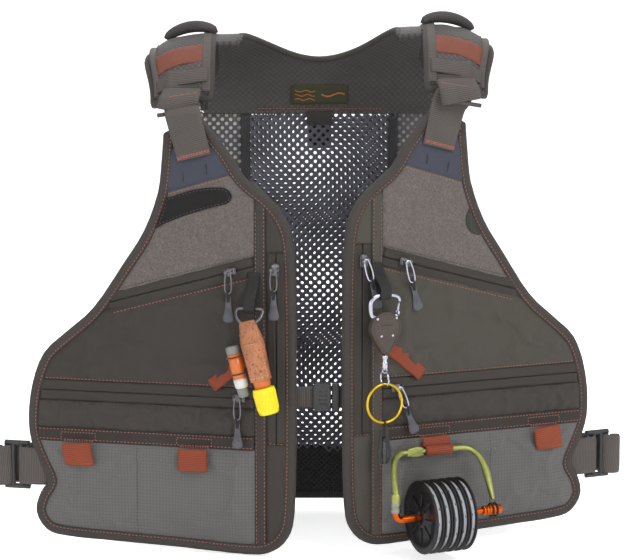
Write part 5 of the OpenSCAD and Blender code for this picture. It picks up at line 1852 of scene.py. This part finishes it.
def build_tippet():
    p = PANELS[1]
    out = unit(p.turn_vector([1, 0, 0]))
    w = lambda pts, step=1.0: p.world(smooth_path(np.array(pts, float), step))
    bar = p.joint("tippet_bow_swing")
    axle = p.joint("tippet_rod_swing")
    fb, zb = bar[1], bar[2]
    bow = Batch()
    pts = [[axle[0], axle[1], 52], [axle[0] + 0.3, axle[1] - 0.4, 58], [32.2, 43.5, 65.5], [36, 34, 74],
           [41.5, 24.5, 82.5], [50, fb + 1.0, zb - 0.6], [58, fb, zb], [76, fb, zb], [106, fb, zb],
           [118, fb + 0.4, zb - 0.3], [125.5, fb + 3.6, zb - 3], [130, fb + 10, zb - 9],
           [131.6, fb + 19, zb - 20],
           [131.6, fb + 28, zb - 36], [131.5, axle[1], 43.5]]
    path = w(pts, 1.2)
    k = np.linspace(0, 1, len(path))
    rad = np.interp(k, [0, 0.04, 0.3, 0.36, 0.72, 0.86, 0.97, 1], [2.7, 3.0, 3.0, 2.6, 2.6, 3.7, 2.5, 1.8])
    bow.add(*tube(path, rad, 18, up=(0, -1, 0)))
    # wrench-shaped lug beside the webbing tab
    lug = [(58, 84.4), (63, 83.2), (68, 82.8), (73, 83.8), (76, 86), (71.5, 87), (69.6, 88), (71.5, 89.2),
           (76, 90.4), (73, 92.4), (68, 93.4), (63, 92.8), (58, 91.4)]
    bow.add(*outline_slab(lug, fb - 2.6, fb + 2.9, p.world, 0.2))
    bow.add(*lathe([(0, 4.3), (0.8, 4.6), (16.4, 4.6), (18, 3.4), (19, 3.0)],
                   p.world([axle[0], axle[1], 40.8]),
                   (0, 0, 1), steps=32))
    finish_piece(bow.piece("tippet_bow_frame", "lime"), "tippet_bow", "lime_anodised", "tippet_bow")
    rings = Batch()
    for h in (41.2, 46.4):
        rings.add(*lathe([(0, 4.7), (0.3, 4.95), (3.6, 4.95), (3.9, 4.7)], p.world([axle[0], axle[1], h]),
                         (0, 0, 1),
                         steps=32))
    finish_piece(rings.piece("tippet_sleeve", "sleeve"), "tippet_bow", "lime_anodised")
    eye = Batch()
    a = np.linspace(0, 2 * math.pi, 40, endpoint=False)
    for du in (-2.2, 2.2):
        eye.add(*tube(p.world(np.stack([131.5 + du + 0 * a, axle[1] + 6.1 * np.cos(a), 34 + 6.1 * np.sin(a)],
                                       1)),
                      0.8, 10, closed=True, up=(1, 0, 0)))
    finish_piece(eye.piece("tippet_elastic", "web_black"), "tippet_bow", "lime_anodised")

    rod = Batch()
    z0 = axle[2]
    pts = [[axle[0], axle[1], 50], [axle[0], axle[1], 42], [axle[0] + 0.2, axle[1], z0 + 5.5],
           [axle[0] + 1.8, axle[1], z0 + 1.9], [axle[0] + 5.6, axle[1], z0 + 0.1],
           [axle[0] + 12, axle[1], z0],
           [80, axle[1], z0], [124, axle[1], z0]]
    path = w(pts, 1.2)
    rad = np.interp(path[:, 2] / MM - p.z0, [z0, z0 + 6], [2.5, 3.1])
    k = (p.local(path)[:, 0] > 54)
    rad[k] = 2.45
    rad[~k & (p.local(path)[:, 0] < 50)] = 3.2
    rod.add(*tube(path, rad, 20, up=(0, -1, 0)))
    rod.add(*lathe([(0, 2.6), (0.5, 4.2), (3.2, 4.2), (3.6, 3.4), (6.5, 3.4), (6.9, 4.8), (10.0, 4.8),
                    (10.4, 4.3),
                    (11.0, 4.3), (11.4, 4.8), (14.8, 4.8), (15.4, 4.3), (19.2, 4.2), (20, 3.4)],
                   p.world([120, axle[1], z0]), out, steps=36))
    finish_piece(rod.piece("tippet_axle", "orange"), "tippet_rod", "orange_anodised", "tippet_rod")

    two = [np.array(JOINTS[f"tippet_spool_{k}_spin"]["pos_m"]) for k in (1, 2)]
    wide = (np.linalg.norm(two[1] - two[0]) / MM - 0.4) / 9.6
    for k in range(5):
        n = f"tippet_spool_{k + 1}"
        c0 = np.array(JOINTS[n + "_spin"]["pos_m"])
        spool_profile = [(h * wide, r) for h, r in [
                         (0.0, 2.7), (0.0, 9.0), (1.8, 10.0), (2.0, 24.0), (0.7, 26.5), (0.0, 29.0),
                         (0.0, 32.8),
                         (0.5, 33.8), (1.4, 34.0), (2.2, 33.4), (2.6, 30.2), (7.0, 30.2), (7.4, 33.4),
                         (8.2, 34.0),
                         (9.1, 33.8), (9.55, 32.8), (9.55, 29.0), (8.6, 26.5), (7.8, 24.0), (7.9, 10.0),
                         (9.55, 9.0), (9.55, 2.7)]]
        v, fa = lathe(spool_profile, c0, out, steps=88)
        count = len(spool_profile)
        fa = fa[:-2] + [((count - 1) * 88 + j, (count - 1) * 88 + (j + 1) % 88, (j + 1) % 88,
                         j) for j in range(88)]
        body = Batch()
        body.add(v, fa)
        for q in range(8):
            t = math.radians(q * 45 + k * 11)
            ca, sa = math.cos(t), math.sin(t)
            ref = unit(np.cross(out, [0, 0, 1.0]))
            oth = np.cross(out, ref)
            pa = [c0 + out * 1.3 * MM + (ref * ca + oth * sa) * r * MM for r in (9.5, 16, 23.5)]
            body.add(*tube(pa, 1.0, 8))
        finish_piece(body.piece(n + "_reel", "spool"), n, "spool_plastic", n)
        v, fa = lathe([(h * wide, r) for h,
                       r in ((2.5, 30.0), (2.6, 31.2), (3.2, 31.5), (6.4, 31.5), (7.0, 31.2),
                                             (7.1, 30.0))], c0, out, steps=88)
        cloth = np.zeros((len(v), 2))
        rows = 6
        cloth[:, 0] = np.repeat(np.linspace(0, 5, rows), 88)
        cloth[:, 1] = np.tile(np.linspace(0, 196, 88), rows)
        finish_piece(piece(n + "_band", v, fa[:-2], "band", cloth), n, "spool_plastic", n)
        ticks = Batch()
        ref = unit(np.cross(out, [0, 0, 1.0]))
        oth = np.cross(out, ref)
        for q in range(14):
            t = math.radians(q * 360 / 14 + k * 23)
            d = ref * math.cos(t) + oth * math.sin(t)
            e = np.cross(out, d)
            pa = [c0 + out * (4.0 + 1.6 * (q % 2)) * wide * MM + d * 31.55 * MM + e * h * MM for h in (-1.3, 0, 1.3)]
            ticks.add(*tube(pa, 0.32, 6))
        finish_piece(ticks.piece(n + "_ticks", "dark_thread"), n, "spool_plastic")


def build_floatant():
    p = PANELS[-1]
    ring = p.joint("holder_ring_swing")
    hang = p.joint("floatant_holder_swing")
    cap_at = np.array(JOINTS["floatant_cap_turn"]["pos_m"])
    down = unit(np.array(JOINTS["floatant_cap_turn"]["axis"]))
    fwd = unit(p.turn_vector([0, 1, 0]))
    side = unit(np.cross(fwd, down))
    w = lambda pts, step=1.0: p.world(smooth_path(np.array(pts, float), step))
    bar = ring[2]
    wire = w([[38, ring[1], bar + 0.1], [48, ring[1], bar], [50.5, ring[1] + 1, bar - 2],
              [48.6, 25.6, bar - 8],
              [43, 29.6, hang[2] + 0.2], [38, 30.2, hang[2] - 0.3], [33, 29.6, hang[2] + 0.2],
              [27.4, 25.6, bar - 8], [25.5, ring[1] + 1, bar - 2], [28, ring[1], bar],
              [38, ring[1], bar + 0.1]])[:-1]
    v, fa, c = tube(wire, 1.5, 14, closed=True, up=(0, -1, 0))
    finish_piece(piece("holder_d_ring", v, fa, "gun", c), "holder_ring", "gunmetal", "holder_ring")

    def held(q):
        """Points of the holder: x sideways, y forward, z down from its top, mm."""
        q = np.asarray(q, float)
        return cap_at + (q[..., 0, None] * side + q[..., 1, None] * fwd + q[..., 2, None] * down) * MM

    # leather sleeve: an oval tube, sewn down both sides, folded over the ring at its top
    rows, cols = 46, 56
    hz = np.linspace(-3.5, 48, rows)
    ang = np.linspace(0, 2 * math.pi, cols, endpoint=False)
    verts, cloth = [], []
    for layer in (0, 1):
        for h in hz:
            pinch = ease((h + 3.5) / 16)
            a0 = 8.6 + 1.6 * pinch + 0.5 * math.sin(h / 9)
            b0 = 3.4 + 5.4 * pinch
            a0, b0 = a0 - layer * 1.3, b0 - layer * 1.3
            cx = np.sign(np.cos(ang)) * np.abs(np.cos(ang)) ** 0.75 * a0
            cy = np.sign(np.sin(ang)) * np.abs(np.sin(ang)) ** 0.85 * b0
            for x, y, t in zip(cx, cy, ang):
                bumpy = 0.35 * noise.noise(Vector((x / 5, y / 5, h / 7)))
                verts.append([x * (1 + bumpy * 0.04), y + bumpy, h])
                cloth.append([t * 9, h])
    verts = held(np.array(verts))
    n = rows * cols
    faces = grid_faces(rows, cols, wrap=True)
    faces += [tuple(i + n for i in f[::-1]) for f in faces]
    for start in (0, (rows - 1) * cols):
        faces += [(start + j, start + (j + 1) % cols, n + start + (j + 1) % cols,
                   n + start + j) for j in range(cols)]
    ob = piece("floatant_sleeve", verts, faces, "leather", np.array(cloth))
    finish_piece(ob, "floatant_holder", "leather", "floatant_holder")
    top = [[0, -2.2, 2], [0, -3.6, -3.0], [0, -1.6, -6.4], [0, 1.6, -6.4], [0, 3.6, -3.0], [0, 6.0, 4],
           [0, 9.4, 12]]
    v, fa, c = ribbon(held(smooth_path(np.array(top, float), 1.0)), side, 15, 1.7, 13)
    finish_piece(piece("floatant_hanger", v, fa, "leather", c), "floatant_holder", "leather")
    sewn_rows = Batch()
    for x in (-9.0, 9.0):
        for h in np.arange(3, 46, 2.9):
            y = 2.6 + 1.4 * ease(h / 16)
            stitch = [[x * 0.93, y + 1.0, h], [x * 0.95, y + 1.5, h + 0.9], [x * 0.93, y + 1.0, h + 1.8]]
            sewn_rows.add(*tube(held(stitch), 0.36, 6))
    for h in (13.0, 44.6):
        for x in np.arange(-7.2, 6.2, 2.6):
            bow = 8.9 * (1 - (abs(x + 0.9) / 12) ** 2.2) + 0.1
            sewn_rows.add(*tube(held([[x, bow, h], [x + 0.9, bow + 0.35, h], [x + 1.8, bow, h]]), 0.36, 6))
    finish_piece(sewn_rows.piece("floatant_sleeve_stitches", "tan_thread"), "floatant_holder", "leather")

    origin = cap_at
    v, fa = lathe([(6, 0.1), (6.2, 5.0), (8, 7.4), (12, 7.9), (50, 8.0), (53.5, 7.7), (55.5, 5.6),
                   (56.5, 4.0),
                   (64, 3.9)], origin, down, steps=48)
    finish_piece(piece("floatant_bottle_body", v, fa, "bottle"), "floatant_bottle", "bottle_orange",
                 "floatant_bottle")
    cap = Batch()
    profile = [(55.2, 8.8), (55.6, 10.0), (57.0, 10.3), (76.6, 9.6), (79.0, 9.0), (79.9, 7.4), (80.0, 0.1)]
    v, fa = lathe(profile, origin, down, steps=72)
    cap.add(v, fa)
    ref = unit(np.cross(down, [1.0, 0, 0]))
    oth = np.cross(down, ref)
    for q in range(36):
        t = math.radians(q * 10)
        d = ref * math.cos(t) + oth * math.sin(t)
        rib = [origin + down * h * MM + d * r * MM for h,
               r in ((57.6, 10.25), (60, 10.25), (74, 9.75), (76.4, 9.5))]
        cap.add(*tube(rib, [0.15, 0.38, 0.38, 0.15], 6))
    finish_piece(cap.piece("floatant_cap_body", "yellow"), "floatant_cap", "cap_yellow", "floatant_cap")

    low = held(np.array([0.0, 0, 0]))
    lo, hi = (np.array(c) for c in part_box("desiccant_bottle"))
    centre = (lo + hi) / 2
    shift = centre - (low + down * 36 * MM)
    shift -= down * (shift @ down)
    base = low + shift
    v, fa = lathe([(11.8, 0.1), (12.2, 5.6), (13.4, 6.4), (19.0, 6.5), (19.2, 6.2)], base, down, steps=40)
    finish_piece(piece("desiccant_foot", v, fa, "bottle_grey"), "floatant_holder", "bottle_orange",
                 "desiccant_bottle")
    v, fa = lathe([(19.2, 5.9), (19.4, 6.4), (42.2, 6.4), (42.6, 6.0)], base, down, steps=40)
    finish_piece(piece("desiccant_body", v, fa, "bottle"), "floatant_holder", "bottle_orange",
                 "desiccant_bottle")
    v, fa = lathe([(42.4, 6.2), (45, 6.4), (50, 6.1), (52, 4.6)], base, down, steps=40)
    finish_piece(piece("desiccant_neck", v, fa, "white"), "floatant_holder", "bottle_orange",
                 "desiccant_bottle")
    v, fa = lathe([(51.6, 4.9), (52.6, 5.4), (58.6, 4.9), (60, 3.6)], base, down, steps=40)
    finish_piece(piece("desiccant_cap", v, fa, "bottle_grey"), "floatant_holder", "bottle_orange",
                 "desiccant_bottle")
    band = Batch()
    a = np.linspace(0, 2 * math.pi, 40, endpoint=False)
    ref = unit(np.cross(down, fwd))
    for h in (22, 38):
        ringp = np.array([base + down * h * MM + (ref * math.cos(t) + fwd * math.sin(t)) * 6.9 * MM for t in a])
        band.add(*tube(ringp, 0.7, 8, closed=True, up=tuple(down)))
    finish_piece(band.piece("desiccant_bands", "dark_thread"), "floatant_holder", "leather")


def build_sternum():
    lo, hi = (np.array(c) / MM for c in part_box("sternum_socket"))
    plo, phi = (np.array(c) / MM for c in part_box("sternum_plug"))
    y, z = (plo[1] + phi[1]) / 2, (lo[2] + hi[2]) / 2
    left = PANELS[-1]
    x = hi[0]
    w = lambda pts: smooth_path(np.array(pts, float) * MM, 1.5 * MM)
    start = left.world([42, -1.4, z - left.z0]) / MM
    v, f, c = ribbon(w([start, [lo[0] + 28, y - 1.4, z], [x - 24, y - 0.2, z], [x - 15.5, y, z]]), (0, 0, 1),
                     20, 1.8)
    finish_piece(piece("sternum_strap_left", v, f, "web", c), "left_front", "webbing", "sternum_socket")
    body = Batch()
    place = lambda p: np.stack([p[..., 0], y - p[..., 1], p[..., 2]], -1) * MM
    shell = [(x - 17, z - 10), (x - 15, z - 12.6), (x - 6, z - 13), (x, z - 12), (x, z + 12), (x - 6, z + 13),
             (x - 15, z + 12.6), (x - 17, z + 10)]
    body.add(*outline_slab(shell, 1.6, 4.2, place, 0.3))
    body.add(*outline_slab(shell, -4.0, -1.7, place, 0.1))
    for s in (-1, 1):
        body.add(*tube([np.array([k, y, z + s * 12.0]) * MM for k in (x - 16, x - 13, x - 9)], 2.0, 12))
        body.add(*tube([np.array([k, y, z + s * 11.6]) * MM for k in (x - 3, x - 1.5, x - 0.4)], 1.8, 12))
    for k in (-6, -2, 2, 6):
        body.add(*tube([np.array([x - 11 + h, y - 4.4, z + k]) * MM for h in (0, 2, 5, 7)], 0.5, 8))
    finish_piece(body.piece("sternum_housing", "buckle"), "left_front", "buckle_plastic", "sternum_socket")
    plug = Batch()
    for s in (-1, 0, 1):
        reach = -2.6 if s else -1
        pts = [[plo[0] + 14.5, y, z + s * 8.2], [plo[0] + 8, y, z + s * 8.6],
               [plo[0] - reach - 1, y, z + s * 8.9],
               [plo[0] + 0.4, y, z + s * 7.8]]
        path = w(pts)
        plug.add(*tube(path, np.interp(np.linspace(0, 1, len(path)), [0, 0.6, 0.85, 1], [1.5, 1.5, 2.0, 1.0]),
                       12,
                       squash=0.9))
    shell = [(phi[0] - 7.4, z - 12.6), (phi[0] - 1, z - 12.8), (phi[0], z - 11), (phi[0], z + 11),
             (phi[0] - 1, z + 12.8), (phi[0] - 7.4, z + 12.6)]
    plug.add(*outline_slab(shell, -3.3, 3.3, place, 0.1))
    finish_piece(plug.piece("sternum_prongs", "buckle"), "sternum_plug", "buckle_plastic", "sternum_plug")
    # short strap that holds the plug
    v, f, c = ribbon(w([[phi[0] - 1.5, y + 0.4, z], [phi[0] + 5, y + 0.6, z], [phi[0] + 13, y + 1.0, z],
                        [phi[0] + 19, y + 1.6, z]]), (0, 0, 1), 19.5, 1.6)
    finish_piece(piece("sternum_strap_right", v, f, "web", c), "sternum_plug", "webbing")


CHEST_TURN = -math.radians(15.2)
for side in (-1, 1):
    build_zip_pull(side, "chest", CHEST_TURN)
    build_zip_pull(side, "vertical", math.radians(90))
    build_zip_pull(side, "low", 0.0)
    build_tabs(side)
build_retractor()
build_tippet()
build_floatant()
build_sternum()

# ---------------------------------------------------------------- stage


def build_stage():
    floor_z = cad_low[2] - 0.002
    bend = np.linspace(0, math.pi / 2, 12)
    r = np.concatenate([[0.0001, 1.5, 3.0], 4.5 + 1.5 * np.sin(bend), [6.0]])
    z = np.concatenate([np.zeros(3), 1.5 * (1 - np.cos(bend)), [6.0]])
    rows, cols = len(r), 73
    turn = np.linspace(0, 2 * math.pi, cols)
    verts = [[r[i] * math.cos(a), r[i] * math.sin(a), z[i] + floor_z] for i in range(rows) for a in turn]
    me = bpy.data.meshes.new("backdrop")
    me.from_pydata(verts, [], grid_faces(rows, cols))
    ob = bpy.data.objects.new("backdrop", me)
    bpy.context.collection.objects.link(ob)
    for p in me.polygons:
        p.use_smooth = True
    s = Shader("stage", 0.7)
    s.color(s.mix(s.noise(3, 2), rgb(244, 244, 245), rgb(250, 250, 250)))
    s.bsdf.inputs["Emission Color"].default_value = (1, 1, 1, 1)
    seen = s.tree.nodes.new("ShaderNodeLightPath").outputs["Is Camera Ray"]
    s.link(s.math("MULTIPLY_ADD", seen, 0.46, 0.20), s.bsdf.inputs["Emission Strength"])
    me.materials.append(s.mat)


def light(name, where, target, size, power, color=(1, 1, 1)):
    data = bpy.data.lights.new(name, "AREA")
    data.energy, data.size, data.color = power, size, color
    ob = bpy.data.objects.new(name, data)
    ob.location = where
    ob.rotation_euler = (Vector(target) - Vector(where)).to_track_quat("-Z", "Y").to_euler()
    bpy.context.collection.objects.link(ob)


def build_camera():
    """Long lens a little above the middle of the vest."""
    distance, elevation = 2.2, math.radians(8)
    across = 0.586  # metres across the frame at the target
    middle = (np.array(cad_low) + np.array(cad_high)) / 2
    target = Vector((middle[0] + 0.010, cad_low[1] + 0.055, cad_low[2] + 0.258))
    back = Vector((0, -math.cos(elevation), math.sin(elevation)))
    data = bpy.data.cameras.new("camera")
    data.sensor_width = 36
    data.lens = data.sensor_width * distance / across
    ob = bpy.data.objects.new("camera", data)
    ob.location = target + back * distance
    ob.rotation_euler = (-back).to_track_quat("-Z", "Y").to_euler()
    bpy.context.collection.objects.link(ob)
    bpy.context.scene.camera = ob


build_stage()
middle = (np.array(cad_low) + np.array(cad_high)) / 2
light("key", (1.5, -1.7, 2.0), middle, 1.1, 29)
light("fill", (-1.8, -1.7, 1.1), middle, 1.8, 9)
light("top", (-0.1, 0.2, 2.3), middle, 1.3, 22)
light("front", (0.0, -2.6, 0.5), middle, 1.2, 6)
light("behind", (0.0, 1.5, 0.9), (0, 0.2, 0.25), 1.2, 14)
world = bpy.data.worlds.new("studio")
bpy.context.scene.world = world
world.use_nodes = True
world.node_tree.nodes["Background"].inputs[0].default_value = (0.95, 0.96, 1.0, 1)
world.node_tree.nodes["Background"].inputs[1].default_value = 0.22
bpy.context.scene.view_settings.view_transform = "Standard"
build_camera()
